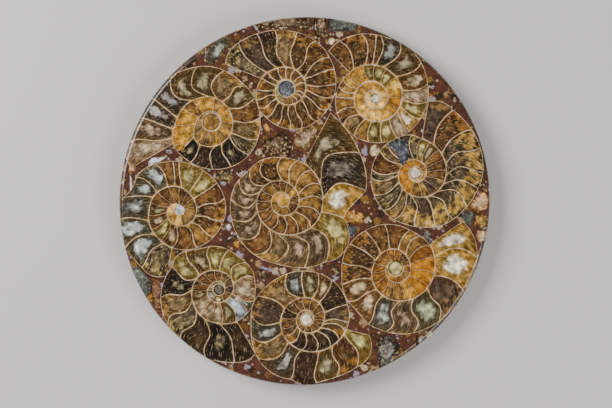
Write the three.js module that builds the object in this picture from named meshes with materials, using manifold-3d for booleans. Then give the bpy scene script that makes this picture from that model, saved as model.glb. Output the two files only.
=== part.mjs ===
// A round polished plate of cut ammonites and shell pieces, set in a red-brown matrix.
// Millimetres, +Z up. The plate lies flat with its polished face up, and the origin is at
// the centre of its underside.

import * as THREE from "three";
import { mergeVertices } from "three/addons/utils/BufferGeometryUtils.js";
import Module from "manifold-3d";

// Plate: a slightly oval disc with a rounded upper edge and an eased foot.
const longRadius = 100.6;
const shortRadius = 99.4;
const longAxisTurn = THREE.MathUtils.degToRad(30);
const thickness = 14;
const topRound = 2.5;
const footRound = 0.8;
const rimSteps = 90;
const roundSteps = 3;

// Every inlay sits in its own pocket, with this gap all round.
const jointGap = 0.3;
const aboveFace = 1;

// An ammonite is one half of a coiled shell: upright at the polished face and bowl-shaped
// below. Each step is [share of the outline, depth under the face].
const shellBowl = [[1, 0], [0.97, 3], [0.84, 5.8], [0.55, 7.2]];
const wallStep = 13;

// A shell chip or a stone is a small wedge that narrows downwards.
const chipBowl = [[1, 0], [0.75, 3.5]];

// Colours by kind of stone.
const stone = {
  matrix: { color: 0x6a3729, roughness: 0.35 },
  brown: { color: 0x5e3c1c, roughness: 0.22 },
  honey: { color: 0xa9711f, roughness: 0.22 },
  olive: { color: 0x625328, roughness: 0.22 },
  dark: { color: 0x453626, roughness: 0.22 },
  teal: { color: 0x53625c, roughness: 0.25 },
  blueGrey: { color: 0x5b6878, roughness: 0.25 },
  cream: { color: 0xd9c9a4, roughness: 0.3 },
  rose: { color: 0xb98a74, roughness: 0.3 },
  pearl: { color: 0xb8bcc6, roughness: 0.25 },
};

// Each coil: its centre on the face, and the outer shell wall of its last turn as
// [angle in degrees, radius in mm]. Angles run on over the turns, anticlockwise.
const coils = [
  {
    name: "ammonite_centre", stone: "honey", centre: [-11.4, 0.0],
    wall: [[782, 23.2], [810, 23.5], [837, 25.2], [858, 25.2], [882, 27.5], [910, 29.3],
      [936, 31.1], [960, 33.0], [987, 34.6], [1012, 38.7], [1033, 40.8], [1048, 42.8],
      [1053, 41.3], [1059, 35.1], [1066, 33.7], [1073, 35.1], [1081, 41.3], [1090, 46.2],
      [1104, 47.6], [1123, 50.6], [1142, 54.0]],
  },
  {
    name: "ammonite_top", stone: "brown", centre: [-9.9, 60.6],
    wall: [[518, 14.6], [570, 17.8], [600, 19.4], [630, 21.6], [660, 23.5], [690, 24.8],
      [720, 26.7], [750, 28.6], [780, 30.5], [810, 31.6], [837, 33.7], [852, 35.4],
      [868, 36.9], [878, 35.4]],
  },
  {
    name: "ammonite_lower_right", stone: "honey", centre: [49.1, -36.3],
    wall: [[755, 22.4], [773, 21.9], [789, 22.1], [820, 24.3], [853, 26.5], [882, 28.7],
      [904, 29.3], [929, 31.2], [949, 31.4], [960, 33.4], [978, 34.4], [1001, 36.2],
      [1038, 37.5], [1062, 40.0], [1084, 44.1], [1105, 45.7], [1115, 44.3]],
  },
  {
    name: "ammonite_bottom", stone: "dark", centre: [1.3, -63.9],
    wall: [[706, 22.1], [720, 22.9], [750, 23.8], [768, 25.0], [797, 25.8], [828, 26.8],
      [858, 28.2], [885, 30.4], [905, 30.5], [933, 33.4], [953, 34.8], [972, 33.4],
      [987, 35.1], [1011, 34.6], [1039, 37.7], [1052, 39.1], [1057, 40.5], [1066, 34.6]],
  },
  {
    name: "ammonite_left", stone: "honey", centre: [-67.5, -4.9],
    wall: [[619, 20.8], [640, 21.9], [690, 23.8], [720, 25.1], [780, 25.1], [804, 26.1],
      [832, 27.5], [850, 29.4], [862, 29.8], [880, 28.3], [890, 31.9], [915, 35.6],
      [945, 36.1], [965, 38.1], [973, 38.7], [979, 36.2]],
  },
  {
    name: "ammonite_lower_left", stone: "olive", centre: [-46.3, -47.9],
    wall: [[660, 19.7], [704, 20.1], [720, 19.8], [751, 20.9], [780, 21.0], [815, 23.8],
      [837, 24.8], [853, 28.1], [864, 29.2], [879, 27.7], [890, 30.0], [910, 32.0],
      [938, 33.9], [960, 36.2], [983, 38.0], [1006, 40.6], [1016, 41.5], [1020, 40.0]],
  },
  {
    name: "ammonite_upper_left", stone: "olive", centre: [-50.5, 42.7],
    wall: [[573, 24.0], [593, 24.3], [620, 25.3], [635, 25.8], [650, 26.5], [680, 27.2],
      [720, 26.7], [750, 27.0], [780, 27.5], [810, 30.0], [840, 31.9], [860, 34.6],
      [880, 38.9], [900, 44.3], [920, 49.7], [930, 49.7]],
  },
  {
    name: "ammonite_top_right", stone: "honey", centre: [38.0, 55.3],
    wall: [[855, 19.7], [900, 21.4], [930, 22.2], [960, 23.2], [990, 24.0], [1020, 24.8],
      [1050, 26.6], [1080, 28.6], [1100, 30.0], [1120, 31.9], [1140, 32.9], [1160, 33.7],
      [1185, 36.0], [1206, 36.5], [1214.5, 35.9]],
  },
  {
    name: "ammonite_right", stone: "dark", centre: [59.9, 15.1],
    wall: [[440, 18.9], [455, 20.8], [480, 21.6], [510, 22.9], [540, 24.0], [570, 25.6],
      [600, 27.5], [630, 29.0], [660, 31.9], [680, 32.8], [700, 34.3], [720, 36.4],
      [750, 38.1], [776, 39.4], [792, 41.0], [800, 39.1]],
  },
];

// Shell chips and stones, as outlines on the face. Two of them cut into a coil, and the
// others fill the room between the coils.
const chips = [
  {
    name: "blue_grey_stone", stone: "blueGrey", cutsInto: "ammonite_right",
    outline: [[44.2, 29.7], [46.7, 31.6], [50.4, 33.2], [53.7, 33.2], [55.6, 30.8],
      [56.1, 23.2], [54.8, 20.5], [52.9, 18.9], [51.0, 22.1], [49.4, 26.5], [46.7, 28.1]],
  },
  {
    name: "olive_grey_chip", stone: "olive",
    outline: [[-52.2, 84.2], [-47.8, 87.7], [-42.4, 90.2], [-39.2, 87.7], [-40.0, 85.0],
      [-44.6, 79.4], [-46.5, 75.9], [-49.5, 73.4], [-51.9, 73.4], [-53.5, 75.1]],
  },
  {
    name: "crinoid_chip", stone: "rose",
    outline: [[-30.0, 95.6], [-23.0, 98.8], [-11.7, 101.5], [-0.9, 102.1], [2.4, 101.0],
      [2.4, 92.9], [-2.5, 92.9], [-11.7, 94.0], [-18.7, 93.1], [-25.7, 91.8]],
  },
  {
    name: "olive_shell_chip", stone: "olive",
    outline: [[5.3, 101.0], [11.6, 101.5], [11.6, 95.0], [11.0, 91.8], [12.6, 89.1],
      [9.4, 87.5], [6.2, 88.6], [5.1, 91.8]],
  },
  {
    name: "teal_chip", stone: "teal",
    outline: [[12.4, 101.0], [19.1, 101.5], [26.1, 99.9], [28.6, 95.6], [28.3, 92.3],
      [24.0, 91.3], [12.4, 91.5]],
  },
  {
    name: "cream_chip", stone: "cream",
    outline: [[13.2, 87.7], [15.1, 88.3], [16.7, 86.9], [14.8, 84.2], [12.9, 84.8]],
  },
  {
    name: "brown_shell_chip", stone: "brown",
    outline: [[-22.5, 32.4], [-17.6, 34.6], [-11.7, 37.5], [-9.2, 35.6], [-7.1, 31.9],
      [-7.1, 25.1], [-17.6, 24.6], [-22.7, 25.4], [-23.5, 28.6]],
  },
  {
    name: "pearl_shell_chip", stone: "pearl",
    outline: [[-4.6, 37.3], [-0.3, 39.7], [4.5, 41.0], [6.7, 38.6], [4.0, 32.4],
      [2.1, 28.3], [-0.9, 26.5], [-3.8, 28.1], [-5.8, 31.3]],
  },
  {
    name: "amber_bead", stone: "honey",
    outline: [[-21.7, 42.1], [-19.8, 41.6], [-18.7, 39.4], [-19.5, 36.7], [-21.4, 38.1],
      [-22.7, 39.4]],
  },
  {
    name: "hooked_shell_chip", stone: "cream",
    outline: [[35.9, 29.7], [39.1, 30.8], [40.7, 28.1], [39.6, 25.4], [36.9, 23.8],
      [34.8, 25.9]],
  },
  {
    name: "honey_block", stone: "honey",
    outline: [[21.8, -5.1], [27.8, -5.5], [31.5, -6.7], [32.3, -8.9], [31.8, -11.9],
      [25.6, -12.6], [21.0, -11.8], [21.3, -8.1]],
  },
  {
    name: "blue_grey_wedge", stone: "blueGrey",
    outline: [[21.8, -13.1], [28.8, -14.0], [25.3, -20.0]],
  },
  {
    name: "teal_green_stone", stone: "teal",
    outline: [[84.2, -8.4], [87.1, -5.7], [90.7, -5.7], [91.4, -7.6], [90.7, -10.8],
      [89.8, -13.8], [87.7, -11.9], [85.5, -10.0]],
  },
  {
    name: "peach_shell_chip", stone: "rose",
    outline: [[91.5, 1.1], [94.7, 4.6], [97.9, 4.3], [99.3, 0.5], [98.5, -4.3],
      [94.7, -5.4], [90.9, -4.6], [89.6, -2.7]],
  },
  {
    name: "orange_lump", stone: "honey",
    outline: [[91.9, -7.6], [95.2, -6.8], [98.5, -7.6], [99.3, -11.3], [98.5, -15.1],
      [93.1, -15.1], [91.0, -12.4]],
  },
  {
    name: "rose_rim_chip", stone: "rose",
    outline: [[93.1, -16.1], [98.2, -16.1], [97.9, -21.1], [94.7, -22.7], [92.5, -19.4]],
  },
  {
    name: "white_teal_chip", stone: "pearl",
    outline: [[63.1, -15.7], [66.1, -15.4], [67.7, -17.3], [68.5, -20.0], [70.4, -22.4],
      [68.8, -23.5], [66.1, -21.1], [63.7, -18.6]],
  },
  {
    name: "flecked_grey_chip", stone: "pearl",
    outline: [[41.3, -73.4], [44.5, -72.1], [47.2, -73.7], [50.4, -76.4], [51.5, -78.8],
      [49.4, -82.1], [45.6, -88.0], [45.0, -89.1], [40.2, -91.3], [39.4, -85.9],
      [39.0, -79.9], [39.9, -75.6]],
  },
  {
    name: "brown_rim_chip", stone: "brown",
    outline: [[52.3, -78.6], [55.3, -80.5], [56.9, -83.7], [50.4, -86.4], [46.7, -89.1],
      [47.2, -86.4], [50.2, -82.1]],
  },
  {
    name: "lilac_rim_chip", stone: "rose",
    outline: [[60.4, -72.9], [63.4, -71.8], [65.0, -73.4], [65.0, -76.1], [61.2, -79.4],
      [59.6, -76.1]],
  },
  {
    name: "quartz_wedge", stone: "pearl",
    outline: [[-83.5, 22.4], [-80.8, 23.8], [-76.5, 23.5], [-73.8, 24.3], [-76.5, 22.4],
      [-79.7, 20.5], [-84.0, 18.9], [-84.6, 20.5]],
  },
  {
    name: "white_splinter", stone: "cream",
    outline: [[-94.4, 13.0], [-93.3, 12.4], [-92.7, 4.9], [-93.5, 3.2], [-94.3, 4.9]],
  },
  {
    name: "tan_rim_chip", stone: "cream",
    outline: [[-95.4, 17.8], [-93.2, 19.7], [-91.0, 18.6], [-91.3, 16.2], [-94.8, 15.7]],
  },
  {
    name: "golden_tooth", stone: "honey", cutsInto: "ammonite_upper_left",
    outline: [[-68.9, 36.2], [-67.3, 37.5], [-63.8, 37.0], [-63.2, 34.6], [-64.8, 31.3],
      [-65.1, 27.5], [-66.2, 26.2], [-67.3, 28.6], [-68.4, 31.9]],
  },
  {
    name: "dark_speckled_chip", stone: "dark",
    outline: [[-47.8, 15.4], [-43.5, 16.7], [-40.8, 17.0], [-39.2, 15.7], [-38.7, 12.4],
      [-41.9, 10.0], [-46.2, 10.8], [-48.1, 13.0]],
  },
  {
    name: "ochre_lump", stone: "honey",
    outline: [[-38.7, -22.7], [-37.0, -20.2], [-34.9, -21.3], [-34.3, -23.8],
      [-35.4, -26.5], [-37.6, -25.4]],
  },
  {
    name: "pearl_bead", stone: "pearl",
    outline: [[-43.5, -13.5], [-40.8, -12.1], [-39.2, -14.0], [-40.3, -16.2],
      [-42.4, -15.7]],
  },
  {
    name: "lilac_sliver", stone: "pearl",
    outline: [[-43.0, -21.3], [-40.3, -18.6], [-38.1, -17.5], [-38.4, -20.0],
      [-40.8, -22.1], [-43.8, -23.2]],
  },
  {
    name: "curved_tan_chip", stone: "rose",
    outline: [[-26.0, -37.3], [-24.1, -36.2], [-21.4, -37.0], [-19.8, -39.4],
      [-20.8, -43.2], [-23.0, -41.6], [-24.6, -38.9]],
  },
  {
    name: "grey_shell_chip", stone: "rose",
    outline: [[13.7, -35.1], [15.9, -33.7], [18.6, -36.2], [19.7, -40.5], [17.0, -41.0],
      [14.8, -38.6]],
  },
  {
    name: "teal_rim_slab", stone: "teal",
    outline: [[-93.7, -35.1], [-90.5, -35.6], [-85.6, -40.0], [-82.9, -44.3],
      [-83.2, -48.1], [-85.6, -51.8], [-89.4, -47.5], [-93.2, -41.0]],
  },
  {
    name: "red_brown_slab", stone: "rose",
    outline: [[-82.2, -41.6], [-78.1, -43.5], [-77.3, -48.6], [-78.3, -55.1],
      [-77.5, -59.4], [-80.8, -62.6], [-82.4, -55.6], [-80.8, -52.9], [-82.4, -48.6],
      [-82.2, -44.8]],
  },
  {
    name: "ochre_rim_slab", stone: "honey",
    outline: [[-87.3, -51.8], [-82.9, -48.9], [-81.3, -52.9], [-82.9, -55.6],
      [-82.9, -59.9], [-86.2, -55.6]],
  },
  {
    name: "rose_grey_chip", stone: "rose",
    outline: [[-33.3, -60.7], [-31.1, -61.0], [-30.3, -63.7], [-31.1, -66.4],
      [-33.3, -65.9], [-34.1, -63.2]],
  },
];

const wasm = await Module();
wasm.setup();

// A closed body between rings of equal length, the first ring on top. Rings run
// anticlockwise seen from above.
function loft(rings) {
  const count = rings[0].length;
  const positions = rings.flat().flatMap((p) => [p.x, p.y, p.z]);
  const flat = rings[0].map((p) => new THREE.Vector2(p.x, p.y));
  const cap = THREE.ShapeUtils.triangulateShape(flat, []);
  const last = (rings.length - 1) * count;
  const index = [];
  for (const [a, b, c] of cap) {
    index.push(a, b, c);
    index.push(last + a, last + c, last + b);
  }
  for (let ring = 0; ring + 1 < rings.length; ring++) {
    for (let i = 0; i < count; i++) {
      const a = ring * count + i;
      const b = ring * count + ((i + 1) % count);
      index.push(a, a + count, b);
      index.push(b, a + count, b + count);
    }
  }
  const geometry = new THREE.BufferGeometry();
  geometry.setAttribute("position", new THREE.Float32BufferAttribute(positions, 3));
  geometry.setIndex(index);
  return geometry;
}

function toSolid(geometry) {
  const merged = mergeVertices(geometry);
  return new wasm.Manifold(new wasm.Mesh({
    numProp: 3,
    vertProperties: new Float32Array(merged.attributes.position.array),
    triVerts: new Uint32Array(merged.index.array),
  }));
}

// Keeps the main body and drops crumbs that a cut leaves between two pockets.
function mainBody(solid) {
  return solid.decompose().reduce((best, next) => (next.volume() > best.volume() ? next : best));
}

function toGeometry(solid) {
  const mesh = solid.getMesh();
  const geometry = new THREE.BufferGeometry();
  geometry.setAttribute("position", new THREE.Float32BufferAttribute(mesh.vertProperties, 3));
  geometry.setIndex([...mesh.triVerts]);
  geometry.computeVertexNormals();
  return geometry;
}

// One level ring of the plate, drawn in by inset from its widest outline.
function plateRing(inset, height) {
  const ring = [];
  for (let i = 0; i < rimSteps; i++) {
    const angle = (i / rimSteps) * 2 * Math.PI;
    const point = new THREE.Vector3(
      (longRadius - inset) * Math.cos(angle), (shortRadius - inset) * Math.sin(angle), height);
    ring.push(point.applyAxisAngle(new THREE.Vector3(0, 0, 1), longAxisTurn));
  }
  return ring;
}

function plateBody() {
  const rings = [];
  for (let step = roundSteps; step >= 0; step--) {
    const turn = (step / roundSteps) * (Math.PI / 2);
    const drop = topRound * (1 - Math.sin(turn));
    rings.push(plateRing(topRound * (1 - Math.cos(turn)), thickness - drop));
  }
  rings.push(plateRing(0, footRound));
  rings.push(plateRing(footRound, 0));
  return toSolid(loft(rings));
}

// Smooth radius of a shell wall between its stated points.
function wallRadius(wall, angle) {
  const slope = (i) => {
    const [fromAngle, fromRadius] = wall[Math.max(i - 1, 0)];
    const [toAngle, toRadius] = wall[Math.min(i + 1, wall.length - 1)];
    return (toRadius - fromRadius) / (toAngle - fromAngle);
  };
  const next = Math.max(1, wall.findIndex(([stated]) => stated >= angle));
  const [startAngle, startRadius] = wall[next - 1];
  const [endAngle, endRadius] = wall[next];
  const span = endAngle - startAngle;
  const t = (angle - startAngle) / span;
  const blend = t * t * (3 - 2 * t);
  const lead = t * (1 - t) * (1 - t) * span * slope(next - 1);
  const trail = t * t * (t - 1) * span * slope(next);
  return startRadius + blend * (endRadius - startRadius) + lead + trail;
}

// Outline of a coil: once round its outer wall, closed by the cut across its mouth.
function coilOutline({ centre, wall }) {
  const outline = [];
  const place = (angle) => {
    const turn = THREE.MathUtils.degToRad(angle);
    const radius = wallRadius(wall, angle);
    outline.push(new THREE.Vector2(
      centre[0] + radius * Math.cos(turn), centre[1] + radius * Math.sin(turn)));
  };
  for (let i = 0; i + 1 < wall.length; i++) {
    const span = wall[i + 1][0] - wall[i][0];
    const steps = Math.ceil(span / wallStep);
    for (let step = 0; step < steps; step++) {
      place(wall[i][0] + (span * step) / steps);
    }
  }
  place(wall.at(-1)[0]);
  return outline;
}

function chipOutline({ outline }) {
  const points = outline.map(([x, y]) => new THREE.Vector2(x, y));
  return THREE.ShapeUtils.isClockWise(points) ? points.reverse() : points;
}

// Moves every side of an anticlockwise outline outwards by the same distance.
function widen(outline, distance) {
  return outline.map((point, i) => {
    const before = outline.at(i - 1);
    const after = outline[(i + 1) % outline.length];
    const into = point.clone().sub(before).normalize();
    const out = after.clone().sub(point).normalize();
    const normal = new THREE.Vector2(into.y + out.y, -into.x - out.x).normalize();
    const lean = Math.max(normal.x * into.y - normal.y * into.x, 0.5);
    return point.clone().addScaledVector(normal, distance / lean);
  });
}

function middle(outline) {
  const sum = outline.reduce((total, point) => total.add(point), new THREE.Vector2());
  return sum.divideScalar(outline.length);
}

// A body under an outline, narrowing towards its centre with depth. A grown body is the
// pocket for it: wider and deeper by grow, and open above the face.
function bowl(outline, centre, steps, grow) {
  const rings = steps.map(([share, depth], level) => {
    const top = level === 0 ? aboveFace : -depth - grow;
    const shrunk = outline.map((p) => p.clone().sub(centre).multiplyScalar(share).add(centre));
    const ring = grow > 0 ? widen(shrunk, grow) : shrunk;
    return ring.map((p) => new THREE.Vector3(p.x, p.y, thickness + top));
  });
  return toSolid(loft(rings));
}

const plate = plateBody();
const shells = coils.map((coil) => ({
  ...coil, outline: coilOutline(coil), centre: new THREE.Vector2(...coil.centre), steps: shellBowl,
}));
const pieces = chips.map((chip) => {
  const outline = chipOutline(chip);
  return { ...chip, outline, centre: middle(outline), steps: chipBowl };
});

// Where two inlays meet, the one that comes first keeps its whole outline.
const inlays = [
  ...shells.flatMap((shell) => [...pieces.filter((p) => p.cutsInto === shell.name), shell]),
  ...pieces.filter((p) => !p.cutsInto),
];

const group = new THREE.Group();

function addPiece(name, kind, solid) {
  const material = new THREE.MeshStandardMaterial({ ...stone[kind], metalness: 0 });
  const piece = new THREE.Mesh(toGeometry(solid), material);
  piece.name = name;
  group.add(piece);
}

let matrix = plate;
let pockets = null;
for (const { name, stone: kind, outline, centre, steps } of inlays) {
  const whole = bowl(outline, centre, steps, 0).intersect(plate);
  const fitted = pockets ? whole.subtract(pockets) : whole;
  addPiece(name, kind, mainBody(fitted));
  const pocket = bowl(outline, centre, steps, jointGap);
  pockets = pockets ? pockets.add(pocket) : pocket;
  matrix = matrix.subtract(pocket);
}
addPiece("matrix", "matrix", mainBody(matrix));

export default group;
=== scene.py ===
"""Dresses the ammonite plate: nine cut ammonites and the chips between them, polished flush.

Sizes in the fields are millimetres and degrees. Finished meshes are metres, in the frame of
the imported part: polished face up, origin at the centre of the underside.
"""

import logging
import math
import random
from collections.abc import Callable, Iterable, Iterator, Sequence
from contextlib import contextmanager
from dataclasses import dataclass
from enum import Enum
from functools import partial
from typing import ClassVar

import bmesh
import bpy
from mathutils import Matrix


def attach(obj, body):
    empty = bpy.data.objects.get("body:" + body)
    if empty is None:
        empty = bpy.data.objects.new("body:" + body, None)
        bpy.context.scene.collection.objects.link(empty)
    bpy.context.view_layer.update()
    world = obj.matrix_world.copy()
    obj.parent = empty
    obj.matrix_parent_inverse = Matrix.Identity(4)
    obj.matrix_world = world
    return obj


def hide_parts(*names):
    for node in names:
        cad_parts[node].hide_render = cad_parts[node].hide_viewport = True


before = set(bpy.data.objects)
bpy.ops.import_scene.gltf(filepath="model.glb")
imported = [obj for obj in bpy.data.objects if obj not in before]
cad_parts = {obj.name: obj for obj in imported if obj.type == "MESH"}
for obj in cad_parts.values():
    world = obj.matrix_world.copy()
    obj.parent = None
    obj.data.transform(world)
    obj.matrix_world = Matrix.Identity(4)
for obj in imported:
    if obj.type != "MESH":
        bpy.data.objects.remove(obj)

MM = 0.001
LOG = logging.getLogger("ammonite_plate")

Vec2 = tuple[float, float]
Vec3 = tuple[float, float, float]
Socket = bpy.types.NodeSocket
Add = Callable[..., Socket]

# The setting that a node's mode goes to.
MODE_OF = {
    "Math": "operation",
    "VectorMath": "operation",
    "VectorRotate": "rotation_type",
    "MapRange": "interpolation_type",
    "Mix": "data_type",
    "InputNamedAttribute": "data_type",
    "StoreNamedAttribute": "data_type",
}
PREFIXES = ("ShaderNode", "GeometryNode", "Node")

# Faces that meet at less than this angle are shaded as one.
SMOOTH_UNDER = math.radians(38)
# Calcite and limestone under polish bend light alike.
STONE_IOR = 1.55
# A distance in mm at which no edge has any effect.
FAR = 50.0
# A width in mm that counts as no line.
HAIR = 0.01


def linear(colour: str) -> Vec3:
    """Turns an sRGB hex colour into linear light.

    Args:
        colour: Such as "#C98A2E".

    Returns:
        Red, green and blue, from 0 to 1.
    """
    parts = [int(colour[i : i + 2], 16) / 255 for i in (1, 3, 5)]
    return tuple(c / 12.92 if c <= 0.04045 else ((c + 0.055) / 1.055) ** 2.4 for c in parts)


def add_node(
    tree: bpy.types.NodeTree, kind: str, inputs: Sequence | dict = (), **settings: object
) -> Socket | bpy.types.Node:
    """Adds one node with its settings, and links or sets its inputs.

    Args:
        tree: The tree that gets the node.
        kind: The node's type without its prefix, then its mode if it has one: "Math ADD".
        inputs: Sockets or values, in the order of the sockets in use, or by socket name.
            None leaves a socket as it is.
        settings: Other properties of the node.

    Returns:
        The first output in use, or the node if it has none.
    """
    kind, _, mode = kind.partition(" ")
    node = tree.nodes.new(next(p + kind for p in PREFIXES if hasattr(bpy.types, p + kind)))
    if mode:
        settings[MODE_OF[kind]] = mode
    for name, value in settings.items():
        setattr(node, name, value)
    used = [s for s in node.inputs if not s.is_unavailable]
    pairs = inputs.items() if isinstance(inputs, dict) else enumerate(inputs)
    for key, value in pairs:
        socket = node.inputs[key] if isinstance(key, str) else used[key]
        if isinstance(value, Socket):
            tree.links.new(value, socket)
        elif value is not None:
            socket.default_value = value
    return next((s for s in node.outputs if not s.is_unavailable), node)


def store(mesh: bpy.types.Mesh, name: str, rows: Iterable[Vec3]) -> None:
    """Keeps one vector for each vertex of a mesh under a name that materials can read."""
    layer = mesh.attributes.new(name, "FLOAT_VECTOR", "POINT")
    layer.data.foreach_set("vector", [value for row in rows for value in row])


@contextmanager
def edited(mesh: bpy.types.Mesh) -> Iterator[bmesh.types.BMesh]:
    """Opens a mesh for changes, and writes them back."""
    work = bmesh.new()
    work.from_mesh(mesh)
    yield work
    work.to_mesh(mesh)
    work.free()


def outward(mesh: bpy.types.Mesh) -> None:
    """Turns the faces of a closed mesh outwards."""
    with edited(mesh) as work:
        bmesh.ops.recalc_face_normals(work, faces=work.faces)


def new_object(name: str, data: bpy.types.ID) -> bpy.types.Object:
    """Puts a new object with that data into the scene."""
    made = bpy.data.objects.new(name, data)
    bpy.context.scene.collection.objects.link(made)
    return made


def evaluated(piece: bpy.types.Object) -> bpy.types.Mesh:
    """Returns a piece's mesh with its modifiers and every stored value kept."""
    graph = bpy.context.evaluated_depsgraph_get()
    return bpy.data.meshes.new_from_object(
        piece.evaluated_get(graph), preserve_all_data_layers=True, depsgraph=graph
    )


def finish_piece(piece: bpy.types.Object, slot: str, *nodes: str) -> None:
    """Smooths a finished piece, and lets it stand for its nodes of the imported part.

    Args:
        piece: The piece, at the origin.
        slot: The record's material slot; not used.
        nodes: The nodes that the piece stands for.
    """
    piece.data.shade_smooth()
    piece.data.set_sharp_from_angle(angle=SMOOTH_UNDER)
    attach(piece, "root")
    if nodes:
        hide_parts(*nodes)
    LOG.info("%s: %d faces", piece.name, len(piece.data.polygons))


@dataclass(frozen=True)
class Filling:
    """The stone in a chamber or chip, from its edge inwards.

    Attributes:
        letter: How a coil's list of fillings names it.
        edge: Colour of the first growth against the wall.
        body: Colour of the main filling.
        core: Colour of the middle.
        head: Colour of the crystals at the outer end.
        mottle: Strength of the crystal mottling, from 0 to 1.
        rings: Number of agate rings, 0 for none.
        core_share: Share of the half width that the core takes.
        head_from: Where the head crystals start, 0 at the inner wall and 1 at the outer.
    """

    letter: str
    edge: str
    body: str
    core: str
    head: str
    mottle: float
    rings: float = 0.0
    core_share: float = 0.35
    head_from: float = 1.4


class Fill(Enum):
    """The fillings that the cut shells show."""

    AMBER = Filling("A", "#553815", "#734D1D", "#8C662E", "#99783B", 0.5)
    YELLOW = Filling("Y", "#905F11", "#A36E1A", "#BB8A31", "#CA9E40", 0.45)
    ORANGE = Filling("M", "#90540D", "#A7670F", "#B67819", "#BE8526", 0.25)
    RUST = Filling("b", "#4A2E14", "#553416", "#6B4923", "#846135", 0.5)
    BROWN = Filling("B", "#5C3511", "#3B2311", "#52391D", "#764F1D", 0.6, head_from=0.8)
    CREAMY = Filling("c", "#663F12", "#54381A", "#C0A67E", "#745424", 0.5, core_share=0.26)
    SMOKY = Filling("g", "#3E2C13", "#281F16", "#6A6054", "#47361E", 0.6, core_share=0.22)
    LEMON = Filling("y", "#B87E1C", "#E0A63C", "#F0C060", "#F0CC78", 0.4)
    RUSSET = Filling("r", "#6A3E10", "#7A4814", "#8E5A20", "#98682A", 0.4)
    EARTH = Filling("d", "#43290F", "#281A0E", "#3C2A18", "#5A3E1C", 0.5)
    NACRE = Filling("N", "#4A3818", "#464030", "#C0C4BE", "#6E5C38", 0.5, core_share=0.3)
    BLACK = Filling("K", "#422C12", "#211910", "#30251A", "#533D1A", 0.35)
    DOTTED = Filling("k", "#33220E", "#1A130C", "#A08E64", "#4A3418", 0.5, core_share=0.14)
    OLIVE = Filling("O", "#764E1A", "#4F391F", "#705A39", "#816230", 0.6, head_from=0.85)
    SMOKE = Filling("o", "#5C3C10", "#47361A", "#A89874", "#654B1B", 0.5, core_share=0.22)
    GREY = Filling("G", "#4A3818", "#3A3226", "#A2A498", "#5C4A2C", 0.4, core_share=0.24)
    WHITE = Filling("W", "#7E5816", "#96702E", "#ECE2C8", "#C09A40", 0.45, core_share=0.28)
    PALE = Filling("P", "#6A4C14", "#62501F", "#B4A468", "#886C2A", 0.5, core_share=0.28)
    LILAC = Filling("L", "#40290F", "#3A2E22", "#A29A92", "#5A4124", 0.5, 1.5, 0.2)
    GEODE = Filling("R", "#5E421C", "#523F2A", "#A4886C", "#84642E", 0.5, 1.5, 0.2)
    TEAL = Filling("T", "#4A3C17", "#443E28", "#9C9C7C", "#74622A", 0.5, core_share=0.3)
    CRESCENT = Filling("H", "#46351D", "#413222", "#53422D", "#9A7634", 0.7, head_from=0.6)
    SPECKLED = Filling("D", "#513B22", "#3E3222", "#63553A", "#756233", 0.9, head_from=0.85)
    PLUM = Filling("U", "#4D2F18", "#3A2A1D", "#4A3A2C", "#6A4F28", 0.35, head_from=0.9)
    PINK = Filling("p", "#714E27", "#80664A", "#B49A7A", "#9C7947", 0.6, core_share=0.3)
    SLATE = Filling("S", "#363B41", "#42464D", "#575A61", "#75767B", 0.5)
    BLUE = Filling("C", "#565C5E", "#6E767C", "#ACB2B8", "#C3CCD2", 0.4, core_share=0.5)
    CREAM_CHIP = Filling("2", "#94794E", "#BCA67C", "#D8CAA8", "#D0BE94", 0.6)
    PEARL = Filling("3", "#695E4F", "#8A8479", "#C7C5C1", "#BAAD99", 0.8, core_share=0.28)
    SNOW = Filling("w", "#B4AEA6", "#DEDCD8", "#F6F5F4", "#E4E0DA", 0.5, core_share=0.4)
    OCHRE = Filling("4", "#5B3A14", "#865A20", "#AB833C", "#A3772C", 0.8, core_share=0.3)
    RUBBLE = Filling("5", "#3C2716", "#4D3722", "#725C45", "#725429", 1.0, core_share=0.25)
    DARK_TEAL = Filling("6", "#47493E", "#4E5049", "#5E6159", "#8B9082", 0.45)
    FLECKED = Filling("7", "#382D23", "#4A443C", "#6D6860", "#897F73", 1.0)
    REDDISH = Filling("8", "#56301F", "#68422E", "#7E5A40", "#8A6042", 0.7)
    PEACH = Filling("9", "#A8744A", "#CC9864", "#E0B688", "#E0B688", 0.6)

    @classmethod
    def of(cls, letter: str) -> Filling:
        """Returns the filling with that letter."""
        return next(fill.value for fill in cls if fill.value.letter == letter)


class Wall(Enum):
    """How wide the pale lines of a chamber are drawn: half of the septum, half of the wall."""

    BARE = (0.0, 0.0)
    CORE = (0.0, 0.24)
    RING = (0.05, 0.4)
    FINE = (0.08, 0.2)
    FULL = (0.24, 0.26)


@dataclass(frozen=True)
class Finish:
    """A polished stone, whose colour each kind works out in its own way.

    Attributes:
        name: The material's name.
        roughness: Of the polished face.
    """

    name: str
    roughness: float

    def material(self) -> bpy.types.Material:
        """Builds the material.

        Returns:
            The material.
        """
        made = bpy.data.materials.new(self.name)
        made.use_nodes = True
        made.node_tree.nodes.clear()
        add = partial(add_node, made.node_tree)
        colour = self.colour(add, add("TexCoord").node.outputs["Object"])
        look = {"Base Color": colour, "Roughness": self.roughness, "IOR": STONE_IOR}
        add("OutputMaterial", {"Surface": add("BsdfPrincipled", look)})
        return made

    def colour(self, add: Add, where: Socket) -> Socket:
        """Works out the colour.

        Args:
            add: Adds a node to the material.
            where: Place on the plate, in metres.

        Returns:
            The colour.
        """
        raise NotImplementedError


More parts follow.
